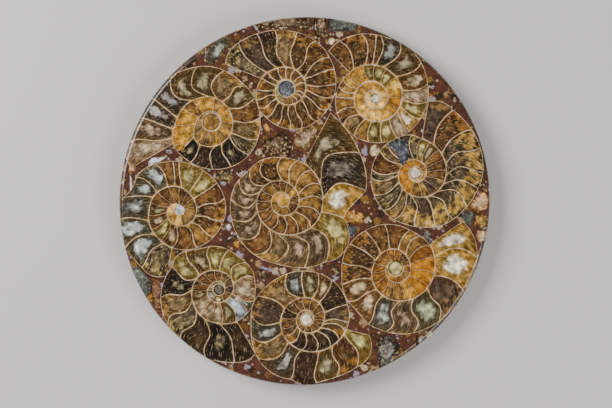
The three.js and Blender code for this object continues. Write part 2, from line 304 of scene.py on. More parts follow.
@dataclass(frozen=True)
class CutStone(Finish):
    """Agatised shell, sawn and polished: banded and mottled calcite between pale shell walls.

    The polish gives a sharp but weak gleam over deep colours. The colours and sizes are those
    kept on each vertex.

    Attributes:
        wall_warm: Cream of the shell walls.
        wall_cool: Lilac white of the walls where the nacre is left.
        feet: Gold of the filling in the corners where a septum meets the inner wall.
        crystal: Colour of the bright grains, partly the crystals' own colour and partly painted glints.
        wobble: How far the lines and bands wander, in mm.
        depth: Power of the light that comes back out of the clear stone.
        edge_band: Where the first growth fades into the body, in shares of the half width.
        core_blur: How softly the core starts.
        head_blur: How softly the head crystals start, to each side.
        rust: Where the stain in the corners fades, in mm, and its strength.
        grains_and_glints: Noise at which the bright grains and painted glints start and are full, and
            their strength.
        cool: Noise at which the walls start to cool, and are cool.
        crisp: Share of its width at which a pale line starts to fade.
        faded: Share of its width at which a pale line is gone.
    """

    roughness: float = 0.16
    wall_warm: str = "#DEC092"
    wall_cool: str = "#DCD2D8"
    feet: str = "#B8862A"
    crystal: str = "#D8C090"
    wobble: float = 0.22
    depth: float = 0.06
    edge_band: Vec2 = (0.02, 0.36)
    core_blur: float = 0.45
    head_blur: float = 0.14
    rust: Vec3 = (0.9, 3.0, 2.4)
    grains_and_glints: Vec3 = (0.75, 0.88, 0.85)
    cool: Vec2 = (0.54, 0.7)
    crisp: float = 0.62
    faded: float = 1.45

    def colour(self, add: Add, where: Socket) -> Socket:
        """Works out the colour.

        Args:
            add: Adds a node to the material.
            where: Place on the plate, in metres.

        Returns:
            The colour.
        """
        traits = ("place", "span", "lines", "grain")
        shades = ("body_colour", "core_colour", "head_colour", "edge_colour")
        kept = {
            name: add("Attribute", attribute_name=name).node.outputs["Vector"]
            for name in traits + shades
        }
        place, span, lines, grain = (
            add("SeparateXYZ", [kept[name]]).node.outputs for name in traits
        )
        # A core or chip is one stone without septa, so only its outer edge counts.
        whole = add("Math LESS_THAN", [lines[0], HAIR])
        # Growth bands wander over about 3 mm, and grains are 0.5 mm.
        drift = add("TexNoise", {"Vector": where, "Scale": 330, "Detail": 1.5})
        speck = add("TexNoise", {"Vector": where, "Scale": 1900, "Detail": 0.5})
        crystal = self._crystals(add, where, place, span, whole)
        wander = add("Math SUBTRACT", [drift, 0.5])
        rough = add("Math SUBTRACT", [crystal, 0.5])

        # Distances in mm to the septa and walls, and the nearest as a share of the half width.
        half_way = add("Math MULTIPLY", [whole, 0.5])
        outwards = add("Math MAXIMUM", [place[1], half_way])
        to_septum = self._inward(add, place[0], span[0])
        to_septum = add("Math MULTIPLY_ADD", [whole, FAR, to_septum])
        to_wall = self._inward(add, outwards, span[1])
        to_wall = add("Math MULTIPLY_ADD", [span[2], FAR, to_wall])
        inside = add("Math SMOOTH_MIN", [to_septum, to_wall, 1.0])
        wide = add("Math MULTIPLY_ADD", [whole, FAR, span[0]])
        half = add("Math MULTIPLY", [add("Math MINIMUM", [wide, span[1]]), 0.5])
        share = add("Math DIVIDE", [inside, half])
        share = add("Math MULTIPLY_ADD", [wander, 1.1, share])

        # The body, then the core, the head crystals and the first growth over it.
        swell = add("Math MAXIMUM", [self._swell(add, place[0]), whole])
        swell = add("Math MULTIPLY", [swell, self._swell(add, outwards)])
        middle = add("Math MULTIPLY_ADD", [wander, 0.6, swell])
        core_edge = add("Math MULTIPLY_ADD", [grain[2], -1.7, 1.0])
        core_full = add("Math ADD", [core_edge, self.core_blur])
        in_core = add("MapRange SMOOTHSTEP", [middle, core_edge, core_full, 0.0, 1.0])
        outer = add("Math MULTIPLY_ADD", [wander, 1.2, place[1]])
        head_start = add("Math SUBTRACT", [lines[2], self.head_blur])
        head_full = add("Math ADD", [lines[2], self.head_blur])
        in_head = add("MapRange SMOOTHSTEP", [outer, head_start, head_full, 0.0, 1.0])
        at_edge = add("MapRange SMOOTHSTEP", [share, *self.edge_band, 1.0, 0.0])
        colour = kept["body_colour"]
        for amount, name in ((in_core, "core"), (in_head, "head"), (at_edge, "edge")):
            colour = add("Mix RGBA", [amount, colour, kept[f"{name}_colour"]])

        # Clear calcite is mostly deep and here and there bright, so the mottling is a power.
        wave = add("Math MULTIPLY", [add("Math MULTIPLY", [share, grain[1]]), 2 * math.pi])
        band = add("Math SINE", [wave])
        fine = add("Math SUBTRACT", [speck, 0.5])
        coarse = add("Math MULTIPLY", [rough, 2.0])
        mixed = add("Math MULTIPLY_ADD", [fine, 0.4, coarse])
        clear = add("Math MULTIPLY_ADD", [in_core, -0.6, 1.0])
        mixed = add("Math MULTIPLY", [mixed, clear])
        mottled = add("Math MULTIPLY", [mixed, grain[0]])
        mottled = add("Math MULTIPLY", [mottled, 3.0])
        mottled = add("Math MULTIPLY_ADD", [wander, 3.0, mottled])
        mottled = add("Math ADD", [mottled, self.depth])
        lit = add("Math EXPONENT", [add("Math MULTIPLY_ADD", [band, 0.25, mottled])])
        colour = add("VectorMath SCALE", [colour, lit])

        start, end, most = self.rust
        corner = add("Math MULTIPLY_ADD", [place[1], span[1], to_septum])
        golden = add("MapRange SMOOTHSTEP", [corner, start, end, most, 0.0])
        golden = add("Math MULTIPLY", [golden, lines[0]])
        colour = add("Mix RGBA", [golden, colour, (*linear(self.feet), 1)])
        # Bright grains mixed into the colour: partly white crystals, partly painted glints.
        start, end, most = self.grains_and_glints
        glint = add("Math MULTIPLY_ADD", [speck, 0.3, crystal])
        grain_and_glint = add("MapRange", [glint, start, end, 0.0, most])
        grain_and_glint = add("Math MULTIPLY", [grain_and_glint, grain[0]])
        colour = add("Mix RGBA", [grain_and_glint, colour, (*linear(self.crystal), 1)])

        # The pale lines of the septa and walls.
        cooled = add("MapRange", [crystal, *self.cool, 0.0, 1.0])
        pale = [(*linear(shade), 1) for shade in (self.wall_warm, self.wall_cool)]
        pale = add("Mix RGBA", [cooled, *pale])
        pale = add("VectorMath SCALE", [pale, add("Math MULTIPLY_ADD", [wander, 2.2, 0.9])])
        shift = add("Math MULTIPLY", [rough, self.wobble])
        on_line = 0.0
        for distance, width in ((to_septum, lines[0]), (to_wall, lines[1])):
            moved = add("Math ADD", [distance, shift])
            crisp = add("Math MULTIPLY", [width, self.crisp])
            faded = add("Math MULTIPLY", [width, self.faded])
            line = add("MapRange SMOOTHSTEP", [moved, crisp, faded, 1.0, 0.0])
            line = add("Math MULTIPLY", [line, add("Math GREATER_THAN", [width, HAIR])])
            on_line = add("Math MAXIMUM", [on_line, line])
        return add("Mix RGBA", [on_line, colour, pale])

    @staticmethod
    def _crystals(
        add: Add, where: Socket, place: Sequence[Socket], span: Sequence[Socket], whole: Socket
    ) -> Socket:
        """Noise in streaks from wall to wall of a chamber, or in grains in a chip.

        Args:
            add: Adds a node to the material.
            where: Place on the plate, in metres.
            place: Shares of the chamber's width and height.
            span: The chamber's width and height, in mm.
            whole: 1 in a chip or core, 0 in a chamber.

        Returns:
            The noise, around one half.
        """
        # Streaks are 0.8 mm wide and 2 mm long; grains are 1.3 mm.
        own = []
        for side, fineness in ((0, 1.25), (1, 0.5)):
            distance = add("Math MULTIPLY", [place[side], span[side]])
            own.append(add("Math MULTIPLY", [distance, fineness]))
        chambered = add("Math SUBTRACT", [1.0, whole])
        streak = add("VectorMath SCALE", [add("CombineXYZ", [*own, 0.0]), chambered])
        fineness = add("Math MULTIPLY_ADD", [whole, 550.0, 220.0])
        spot = add("VectorMath ADD", [streak, add("VectorMath SCALE", [where, fineness])])
        return add("TexNoise", {"Vector": spot, "Scale": 1.0, "Detail": 1.5})

    @staticmethod
    def _swell(add: Add, share: Socket) -> Socket:
        """Returns a bump: 1 where the share is one half, 0 where it is 0 or 1."""
        both = add("Math MULTIPLY", [share, add("Math SUBTRACT", [1.0, share])])
        return add("Math MULTIPLY", [both, 4.0])

    @staticmethod
    def _inward(add: Add, share: Socket, span: Socket) -> Socket:
        """Distance in mm to the nearer of two opposite edges.

        Args:
            add: Adds a node to the material.
            share: Place between the edges, from 0 to 1.
            span: Distance between the edges, in mm.

        Returns:
            The distance.
        """
        near = add("Math MINIMUM", [share, add("Math SUBTRACT", [1.0, share])])
        return add("Math MULTIPLY", [near, span])


@dataclass(frozen=True)
class Rubble:
    """One size of shell fragments in the ground.

    Attributes:
        scale: Fragments in a metre.
        share: Share of them that show.
        size: Radius of a fragment, in shares of the distance between two.
    """

    scale: float
    share: float
    size: float


@dataclass(frozen=True)
class RedLimestone(Finish):
    """Red-brown limestone ground, polished: clay-stained grain crowded with shell rubble.

    Attributes:
        dark: Colour of the clay-rich patches.
        light: Colour of the pinkish patches.
        shells: Colours of the shell fragments, from the most common.
        rubble: Fragments of 4 mm, then crumbs of 1.5 mm between them.
        edge: How softly a fragment ends.
    """

    name: str = "Polished red limestone"
    roughness: float = 0.2
    dark: str = "#381E16"
    light: str = "#6C402F"
    shells: tuple[str, ...] = (
        "#4A3018", "#6A4A20", "#33241A", "#86622A", "#583826", "#A0825A", "#BCA484", "#9C8C98",
    )
    rubble: tuple[Rubble, ...] = (Rubble(250, 0.66, 0.5), Rubble(640, 0.4, 0.4))
    edge: float = 0.1

    def colour(self, add: Add, where: Socket) -> Socket:
        """Works out the colour.

        Args:
            add: Adds a node to the material.
            where: Place on the plate, in metres.

        Returns:
            The colour.
        """
        # Clouds of about 4 mm and grains of 0.6 mm.
        cloud = add("TexNoise", {"Vector": where, "Scale": 250, "Detail": 3})
        grain = add("TexNoise", {"Vector": where, "Scale": 1700, "Detail": 1})
        both = add("Math MULTIPLY_ADD", [grain, 0.8, cloud])
        amount = add("MapRange", [both, 0.6, 1.2, 0.0, 1.0])
        colour = add("Mix RGBA", [amount, (*linear(self.dark), 1), (*linear(self.light), 1)])
        speckled = add("Math MULTIPLY_ADD", [grain, 2.2, -0.1])
        for rubble in self.rubble:
            bent = add("TexNoise", {"Vector": where, "Scale": rubble.scale * 3})
            bent = add("VectorMath SCALE", [bent.node.outputs["Color"], 0.6 / rubble.scale])
            spot = add("VectorMath ADD", [where, bent])
            cells = add("TexVoronoi", {"Vector": spot, "Scale": rubble.scale}).node.outputs
            pick = add("SeparateXYZ", [cells["Color"]]).node.outputs
            chosen = add("Math LESS_THAN", [pick[0], rubble.share])
            fades = (rubble.size, rubble.size + self.edge, 1.0, 0.0)
            near = add("MapRange", [cells["Distance"], *fades])
            mask = add("Math MULTIPLY", [chosen, near])
            stone = add("VectorMath SCALE", [self._shell(add, pick[1]), speckled])
            colour = add("Mix RGBA", [mask, colour, stone])
        return colour

    def _shell(self, add: Add, pick: Socket) -> Socket:
        """Picks the colour of a fragment.

        Args:
            add: Adds a node to the material.
            pick: The fragment's own number, from 0 to 1.

        Returns:
            The colour.
        """
        ramp = add("ValToRGB", [pick])
        stops = ramp.node.color_ramp
        stops.interpolation = "CONSTANT"
        while len(stops.elements) < len(self.shells):
            stops.elements.new(0.5)
        for i, shade in enumerate(self.shells):
            stops.elements[i].position = (i / len(self.shells)) ** 0.65
            stops.elements[i].color = (*linear(shade), 1)
        return ramp


@dataclass(frozen=True)
class Plate:
    """The slightly oval plate with a rounded upper edge and an eased foot."""

    long_radius: float = 100.6
    short_radius: float = 99.4
    turn: float = math.radians(30)
    thickness: float = 14.0
    top_round: float = 2.5
    foot_round: float = 0.8
    flat_margin: float = 0.6
    rim_steps: int = 240
    round_steps: int = 7

    def reach(self, x: float, y: float) -> float:
        """Tells how far a point is across the plate.

        Args:
            x: Place in mm.
            y: Place in mm.

        Returns:
            1 on the plate's widest outline, and less inside it.
        """
        along = x * math.cos(self.turn) + y * math.sin(self.turn)
        across = y * math.cos(self.turn) - x * math.sin(self.turn)
        return math.hypot(along / self.long_radius, across / self.short_radius)

    def on_face(self, x: float, y: float) -> Vec3:
        """Drops a point onto the polished face or its rounded edge.

        Args:
            x: Place in mm.
            y: Place in mm.

        Returns:
            The point, drawn in to the plate's outline if it lay outside.
        """
        reach = self.reach(x, y)
        inset = (1 - min(reach, 1)) * self.long_radius
        left = self.top_round - min(inset, self.top_round)
        height = self.thickness - self.top_round + math.sqrt(self.top_round**2 - left**2)
        shrink = 1 / max(reach, 1)
        return x * shrink, y * shrink, height

    def ring(self, inset: float, height: float) -> list[Vec3]:
        """One level ring of the plate's outside.

        Args:
            inset: How far inside the widest outline it is, in mm.
            height: Its height, in mm.

        Returns:
            The ring's points.
        """
        points = []
        for i in range(self.rim_steps):
            angle = 2 * math.pi * i / self.rim_steps
            along = (self.long_radius - inset) * math.cos(angle)
            across = (self.short_radius - inset) * math.sin(angle)
            x = along * math.cos(self.turn) - across * math.sin(self.turn)
            y = along * math.sin(self.turn) + across * math.cos(self.turn)
            points.append((x, y, height))
        return points

    def blank(self) -> list[list[Vec3]]:
        """Returns the rings of the whole plate, from the polished face down."""
        rings = [self.ring(self.top_round + self.flat_margin, self.thickness)]
        for step in range(self.round_steps, -1, -1):
            turn = math.radians(90) * step / self.round_steps
            drop = self.top_round * (1 - math.sin(turn))
            inset = self.top_round * (1 - math.cos(turn))
            rings.append(self.ring(inset, self.thickness - drop))
        return [*rings, self.ring(0, self.foot_round), self.ring(self.foot_round, 0)]


PLATE = Plate()


def loft(name: str, rings: Sequence[Sequence[Vec3]]) -> bpy.types.Mesh:
    """A closed mesh between rings of equal length, the first on top, anticlockwise.

    Args:
        name: The mesh's name.
        rings: The rings, in mm.

    Returns:
        The mesh, in metres.
    """
    count = len(rings[0])
    points = [tuple(value * MM for value in point) for ring in rings for point in ring]
    faces = [list(range(count)), [len(points) - 1 - i for i in range(count)]]
    for start in range(0, len(points) - count, count):
        for i in range(count):
            a, b = start + i, start + (i + 1) % count
            faces.append([a, a + count, b + count, b])
    mesh = bpy.data.meshes.new(name)
    mesh.from_pydata(points, [], faces)
    outward(mesh)
    return mesh


def drawn_in(edge: Sequence[Vec2], centre: Vec2, share: float) -> list[Vec2]:
    """Returns an outline drawn in towards a centre to a share of its size."""
    cx, cy = centre
    return [(cx + (x - cx) * share, cy + (y - cy) * share) for x, y in edge]


def store_filling(mesh: bpy.types.Mesh, rows: Sequence[tuple[Filling, Wall, float]]) -> None:
    """Keeps the colours and traits of each vertex's filling.

    Args:
        mesh: The mesh.
        rows: Filling, pale lines and brightness for each vertex.
    """
    for part in ("edge", "body", "core", "head"):
        shades = [(linear(getattr(filling, part)), light) for filling, _, light in rows]
        store(mesh, f"{part}_colour", [tuple(v * light for v in shade) for shade, light in shades])
    store(mesh, "lines", [(*wall.value, filling.head_from) for filling, wall, _ in rows])
    store(mesh, "grain", [(f.mottle, f.rings, f.core_share) for f, _, _ in rows])


@dataclass(frozen=True)
class Chamber:
    """One chamber of a coil, ready for the bending tree.

    Attributes:
        start_septum: Angle of its first septum, as the factors of 1, v and v squared, in
            radians.
        end_septum: The same for its second septum.
        inner_wall: Radius of its inner wall, as the factors of 1, u and u squared, in mm.
        outer_wall: The same for its outer wall.
        sway: How far each septum swings in an S, in radians, and the radius of the coil's
            outline there, in mm.
        filling: Its filling, how its pale lines are drawn, and how bright it is against
            others with its filling.
    """

    start_septum: Vec3
    end_septum: Vec3
    inner_wall: Vec3
    outer_wall: Vec3
    sway: Vec3
    filling: tuple[Filling, Wall, float]


# The fields of a chamber that the bending tree reads.
CHAMBER_SHAPE = ("start_septum", "end_septum", "inner_wall", "outer_wall", "sway")


def through(first: float, middle: float, last: float) -> Vec3:
    """Returns the factors of the curve through three values at 0, one half and 1."""
    return first, 4 * middle - 3 * first - last, 2 * first - 4 * middle + 2 * last


def across(a: float, b: float) -> Vec3:
    """Returns the values at both ends of a stretch and halfway."""
    return tuple(a + (b - a) * share for share in (0, 0.5, 1))


@dataclass(frozen=True)
class Bend:
    """The shape of the septa from one angle of a coil onwards, in degrees of turn.

    Attributes:
        start: The first angle that it is for.
        foot: How far the septum's inner end runs ahead.
        belly: How far its middle runs ahead.
        head: How far its outer end runs ahead.
        sway: How far it swings in an S.
    """

    start: float
    foot: float
    belly: float
    head: float = 0.0
    sway: float = 0.0


@dataclass(frozen=True)
class Coil:
    """One cut ammonite: a shell wall that coils outwards, with septa across its turns.

    Angles run on over the turns, anticlockwise.

    Attributes:
        name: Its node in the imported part.
        slot: The record's material slot.
        centre: On the face, in mm.
        wall: The outer shell wall, as angle and radius.
        septa: Angle of each septum, from the core to the mouth.
        fills: One letter of filling for each chamber.
        bends: Shapes of the septa.
        fine_until: The lines are fine up to this angle.
        core: Letter of the core's filling.
        seed: For the small differences between chambers.
        ring_until: The walls are thick and white up to this angle.
        side_depth: How deep it is at its outline, in mm.
        belly_depth: How deep it is in the middle, in mm.
        columns: Columns of corners from septum to septum.
        rows: Rows of corners across a turn.
        rim_rows: The same for a coil that bends over the plate's rounded rim.
        rim_reach: How far across the plate that rim starts to matter.
        core_reach: Outline that the core's quarters are given: far off, so they lie deep.
        clearance: How much wider than the coil its pocket is, in mm.
    """

    name: str
    slot: str
    centre: Vec2
    wall: tuple[Vec2, ...]
    septa: tuple[float, ...]
    fills: str
    bends: tuple[Bend, ...]
    fine_until: float
    core: str
    seed: int
    ring_until: float = 0.0
    side_depth: float = 3.2
    belly_depth: float = 7.1
    columns: int = 11
    rows: int = 13
    rim_rows: int = 29
    rim_reach: float = 0.97
    core_reach: float = 99.0
    clearance: float = 0.03

    def meets_rim(self) -> bool:
        """Returns whether the plate's rounded rim cuts this coil."""
        return any(PLATE.reach(x, y) > self.rim_reach for x, y in self.outline(step=10.0))

    def radius(self, angle: float) -> float:
        """Smooth radius of the outer shell wall.

        Args:
            angle: In degrees, on over the turns.

        Returns:
            The radius in mm.
        """
        wall = self.wall
        if angle <= wall[0][0]:
            return wall[0][1]
        if angle >= wall[-1][0]:
            return wall[-1][1]
        after = next(i for i, (stated, _) in enumerate(wall) if stated >= angle)
        (a0, r0), (a1, r1) = wall[after - 1], wall[after]
        slopes = []
        for i in (after - 1, after):
            (b0, s0), (b1, s1) = wall[max(i - 1, 0)], wall[min(i + 1, len(wall) - 1)]
            slopes.append((s1 - s0) / (b1 - b0))
        t = (angle - a0) / (a1 - a0)
        blend = t * t * (3 - 2 * t)
        lead = t * (1 - t) ** 2 * (a1 - a0) * slopes[0]
        trail = t * t * (t - 1) * (a1 - a0) * slopes[1]
        return r0 + blend * (r1 - r0) + lead + trail

    def septum(self, angle: float) -> tuple[Vec3, float]:
        """Shape of the septum at an angle.

        Args:
            angle: Its stated angle, in degrees.

        Returns:
            Its angles at the inner wall, halfway and at the outer wall, and its swing.
        """
        last = self.septa[-1]
        if angle in (self.septa[0], last):
            return (angle, angle, angle), 0.0
        bend = [b for b in self.bends if b.start <= angle][-1]
        spots = (bend.foot, bend.belly, bend.head)
        return tuple(min(angle + spot, last) for spot in spots), bend.sway

    def chambers(self) -> list[Chamber]:
        """Returns the core's quarters and then every chamber, from the core outwards."""
        chance = random.Random(self.seed)
        walls = ((0, 0, 0), (self.wall[0][1], 0, 0), (0, 0, self.core_reach))
        made = []
        for quarter in range(4):
            start = math.radians(90 * quarter)
            septa = ((start, 0, 0), (start + math.pi / 2, 0, 0))
            made.append(Chamber(*septa, *walls, (Fill.of(self.core), Wall.CORE, 1)))
        shapes = [self.septum(angle) for angle in self.septa]
        last = self.septa[-1]
        for letter, (a, sway_a), (b, sway_b) in zip(self.fills, shapes, shapes[1:]):
            septa = [through(*map(math.radians, spots)) for spots in (a, b)]
            # The inner wall is the outer wall of the turn before.
            inner = through(*(self.radius(angle - 360) for angle in across(a[0], b[0])))
            outer = through(*(self.radius(angle) for angle in across(a[2], b[2])))
            turns = math.ceil((last - b[2]) / 360 - 1e-9)
            outline = self.radius(min((a[2] + b[2]) / 2 + 360 * turns, last))
            sway = (math.radians(sway_a), math.radians(sway_b), outline)
            filling = (Fill.of(letter), self.wall_at(a[2]), chance.uniform(0.84, 1.2))
            made.append(Chamber(*septa, inner, outer, sway, filling))
        return made

    def wall_at(self, angle: float) -> Wall:
        """Returns how the pale lines are drawn at an angle."""
        if angle < self.ring_until:
            return Wall.RING
        return Wall.FINE if angle < self.fine_until else Wall.FULL

    def outline(self, step: float = 2.0) -> list[Vec2]:
        """The coil's edge on the face, along its last turn and its mouth.

        Args:
            step: Degrees between its points.

        Returns:
            The points, in mm.
        """
        edges = [self.septum(angle)[0][2] for angle in self.septa]
        points = []
        for i in range(int(360 / step) + 1):
            angle = self.septa[-1] - 360 + step * i
            index = max(k for k in range(len(edges) - 1) if edges[k] <= angle or k == 0)
            a, b = edges[index], edges[index + 1]
            c0, c1, c2 = through(*(self.radius(spot) for spot in across(a, b)))
            u = (angle - a) / (b - a)
            radius = c0 + u * (c1 + u * c2) + self.clearance
            turn = math.radians(angle)
            x, y = self.centre
            points.append((x + radius * math.cos(turn), y + radius * math.sin(turn)))
        return points

    def build(self, tree: bpy.types.NodeTree, material: bpy.types.Material, lift: float) -> None:
        """Makes the coil's piece by bending one cell into each chamber.

        Args:
            tree: The bending tree.
            material: Its finish.
            lift: How far it stands above the face, in mm, so that two coils that touch never
                share one face.
        """
        chambers = self.chambers()
        mesh = bpy.data.meshes.new(self.name)
        mesh.from_pydata([(0, 0, 0)] * len(chambers), [], [])
        for name in CHAMBER_SHAPE:
            store(mesh, name, [getattr(chamber, name) for chamber in chambers])
        store_filling(mesh, [chamber.filling for chamber in chambers])
        piece = new_object(f"polished_{self.name}", mesh)
        sizes = {
            "Centre": (*self.centre, 0),
            "Long radius": PLATE.long_radius,
            "Short radius": PLATE.short_radius,
            "Turn": PLATE.turn,
            "Thickness": PLATE.thickness + lift,
            "Top round": PLATE.top_round,
            "Side depth": self.side_depth,
            "Belly depth": self.belly_depth,
            "Columns": self.columns,
            "Rows": self.rim_rows if self.meets_rim() else self.rows,
            "Material": material,
        }
        bake_tree(piece, tree, sizes)
        for name in CHAMBER_SHAPE:
            piece.data.attributes.remove(piece.data.attributes[name])
        # Faces drawn in to the plate's rim have no area left.
        with edited(piece.data) as work:
            bmesh.ops.dissolve_degenerate(work, edges=work.edges, dist=1e-7)
        finish_piece(piece, self.slot, self.name)


def new_tree(name: str, inputs: Sequence[tuple[str, str]]) -> tuple[bpy.types.NodeTree, Add]:
    """Starts a tree of geometry nodes.

    Args:
        name: The tree's name.
        inputs: Name and kind of each input after the geometry.

    Returns:
        The tree, and what adds a node to it.
    """
    tree = bpy.data.node_groups.new(name, "GeometryNodeTree")
    sockets = [("Geometry", "Geometry", "OUTPUT"), ("Geometry", "Geometry", "INPUT")]
    for label, kind, side in sockets + [(*pair, "INPUT") for pair in inputs]:
        tree.interface.new_socket(name=label, in_out=side, socket_type=f"NodeSocket{kind}")
    return tree, partial(add_node, tree)


def bake_tree(piece: bpy.types.Object, tree: bpy.types.NodeTree, sizes: dict) -> None:
    """Runs a tree on a piece and keeps the result as its plain mesh.

    Args:
        piece: The piece.
        tree: The tree.
        sizes: Values for the tree's inputs, by name.
    """
    modifier = piece.modifiers.new(tree.name, "NODES")
    modifier.node_group = tree
    for item in tree.interface.items_tree:
        if item.in_out == "INPUT" and item.name in sizes:
            modifier[item.identifier] = sizes[item.name]
    made = evaluated(piece)
    piece.modifiers.remove(modifier)
    piece.data = made


class BendingTree:
    """Geometry nodes that bend one box of cells into each chamber of a coil.

    Attributes:
        INPUTS: Its sizes, in mm and radians.
        BELLY: Share of the outline inside which a coil has its full depth.
        SAWN_FROM: How far across the plate its rim cuts a chamber.
    """

    INPUTS = (
        ("Centre", "Vector"), ("Long radius", "Float"), ("Short radius", "Float"),
        ("Turn", "Float"), ("Thickness", "Float"), ("Top round", "Float"),
        ("Side depth", "Float"), ("Belly depth", "Float"), ("Columns", "Int"), ("Rows", "Int"),
        ("Material", "Material"),
    )
    BELLY = 0.55
    SAWN_FROM = 0.99

    def __init__(self) -> None:
        """Builds the tree."""
        self.tree, self.add = new_tree("Coiled chambers", self.INPUTS)
        add = self.add
        self.given = add("GroupInput").node.outputs
        bent, span = self._bend()
        shaped = [self._cells(), None, "span", span]
        shaped = add("StoreNamedAttribute FLOAT_VECTOR", shaped, domain="POINT")
        moved = add("SetPosition", {"Geometry": shaped, "Position": bent})
        add("GroupOutput", [add("SetMaterial", [moved, None, self.given["Material"]])])

    def _cells(self) -> Socket:
        """Returns one unit box of cells for each point, which knows its place in the box."""
        add = self.add
        box = add("MeshCube", [(1, 1, 1), self.given["Columns"], self.given["Rows"], 2])
        place = add("VectorMath ADD", [add("InputPosition"), (0.5, 0.5, 0.5)])
        placed = [box, None, "place", place]
        placed = add("StoreNamedAttribute FLOAT_VECTOR", placed, domain="POINT")
        spread = add("InstanceOnPoints", {"Points": self.given["Geometry"], "Instance": placed})
        # Bending mirrors the boxes, so their faces are turned first.
        return add("FlipFaces", [add("RealizeInstances", [spread])])

    def _bend(self) -> tuple[Socket, Socket]:
        """Works out where each corner of a chamber goes.

        Returns:
            The corner's place in metres; and its chamber's width and height in mm, with 1
            where the plate's rim cuts it.
        """
        add = self.add
        place, start, end, inner, outer, sway = (
            add("InputNamedAttribute FLOAT_VECTOR", [name]) for name in ("place", *CHAMBER_SHAPE)
        )
        u, v, w = add("SeparateXYZ", [place]).node.outputs
        along_u, along_v = (
            add("CombineXYZ", [1.0, t, add("Math MULTIPLY", [t, t])]) for t in (u, v)
        )
        swing = add("Math SINE", [add("Math MULTIPLY", [v, 2 * math.pi])])
        start_sway, end_sway, outline = add("SeparateXYZ", [sway]).node.outputs
        angles = []
        for septum, amount in ((start, start_sway), (end, end_sway)):
            plain = add("VectorMath DOT_PRODUCT", [septum, along_v])
            angles.append(add("Math MULTIPLY_ADD", [amount, swing, plain]))
        radii = [add("VectorMath DOT_PRODUCT", [wall, along_u]) for wall in (inner, outer)]
        angle = add("Mix FLOAT", [u, *angles])
        radius = add("Mix FLOAT", [v, *radii])
        ray = [add("Math COSINE", [angle]), add("Math SINE", [angle]), 0.0]
        arm = add("VectorMath SCALE", [add("CombineXYZ", ray), radius])
        point = add("VectorMath ADD", [arm, self.given["Centre"]])

        opening = add("Math SUBTRACT", [angles[1], angles[0]])
        width = add("Math MULTIPLY", [opening, radius])
        height = add("Math SUBTRACT", [radii[1], radii[0]])
        reach = self._reach(point)
        sawn = add("Math GREATER_THAN", [reach, self.SAWN_FROM])
        span = add("CombineXYZ", [width, height, sawn])
        return self._seat(point, reach, outline, w), span

    def _reach(self, point: Socket) -> Socket:
        """Returns how far a point is across the oval plate, 1 on its widest outline."""
        add, given = self.add, self.given
        back = add("Math MULTIPLY", [given["Turn"], -1.0])
        own = add("VectorRotate Z_AXIS", {"Vector": point, "Angle": back})
        sides = add("CombineXYZ", [given["Long radius"], given["Short radius"], 1.0])
        return add("VectorMath LENGTH", [add("VectorMath DIVIDE", [own, sides])])

    def _seat(self, point: Socket, reach: Socket, outline: Socket, w: Socket) -> Socket:
        """Keeps a corner inside the plate, and gives it the height of the face or the bowl.

        Args:
            point: Its place on the face, in mm.
            reach: How far it is across the plate.
            outline: Radius of the coil's outline there.
            w: 0 on the bowl, 1 on the face.

        Returns:
            Its place in metres.
        """
        add, given = self.add, self.given
        rim, thick = given["Top round"], given["Thickness"]
        shrink = add("Math DIVIDE", [1.0, add("Math MAXIMUM", [reach, 1.0])])
        kept = add("VectorMath SCALE", [point, shrink])
        rest = add("Math SUBTRACT", [1.0, add("Math MINIMUM", [reach, 1.0])])
        inset = add("Math MULTIPLY", [rest, given["Long radius"]])
        left = add("Math SUBTRACT", [rim, add("Math MINIMUM", [inset, rim])])
        rise = add("Math SUBTRACT", [add("Math MULTIPLY", [side, side]) for side in (rim, left)])
        drop = add("Math SUBTRACT", [rim, add("Math POWER", [rise, 0.5])])
        face = add("Math SUBTRACT", [thick, drop])

        arm = add("VectorMath SUBTRACT", [kept, given["Centre"]])
        share = add("Math DIVIDE", [add("VectorMath LENGTH", [arm]), outline])
        bowl = [share, self.BELLY, 1.0, given["Belly depth"], given["Side depth"]]
        floor = add("Math SUBTRACT", [thick, add("MapRange SMOOTHSTEP", bowl)])
        height = add("Mix FLOAT", [w, floor, face])
        x, y, _ = add("SeparateXYZ", [kept]).node.outputs
        return add("VectorMath SCALE", [add("CombineXYZ", [x, y, height]), MM])


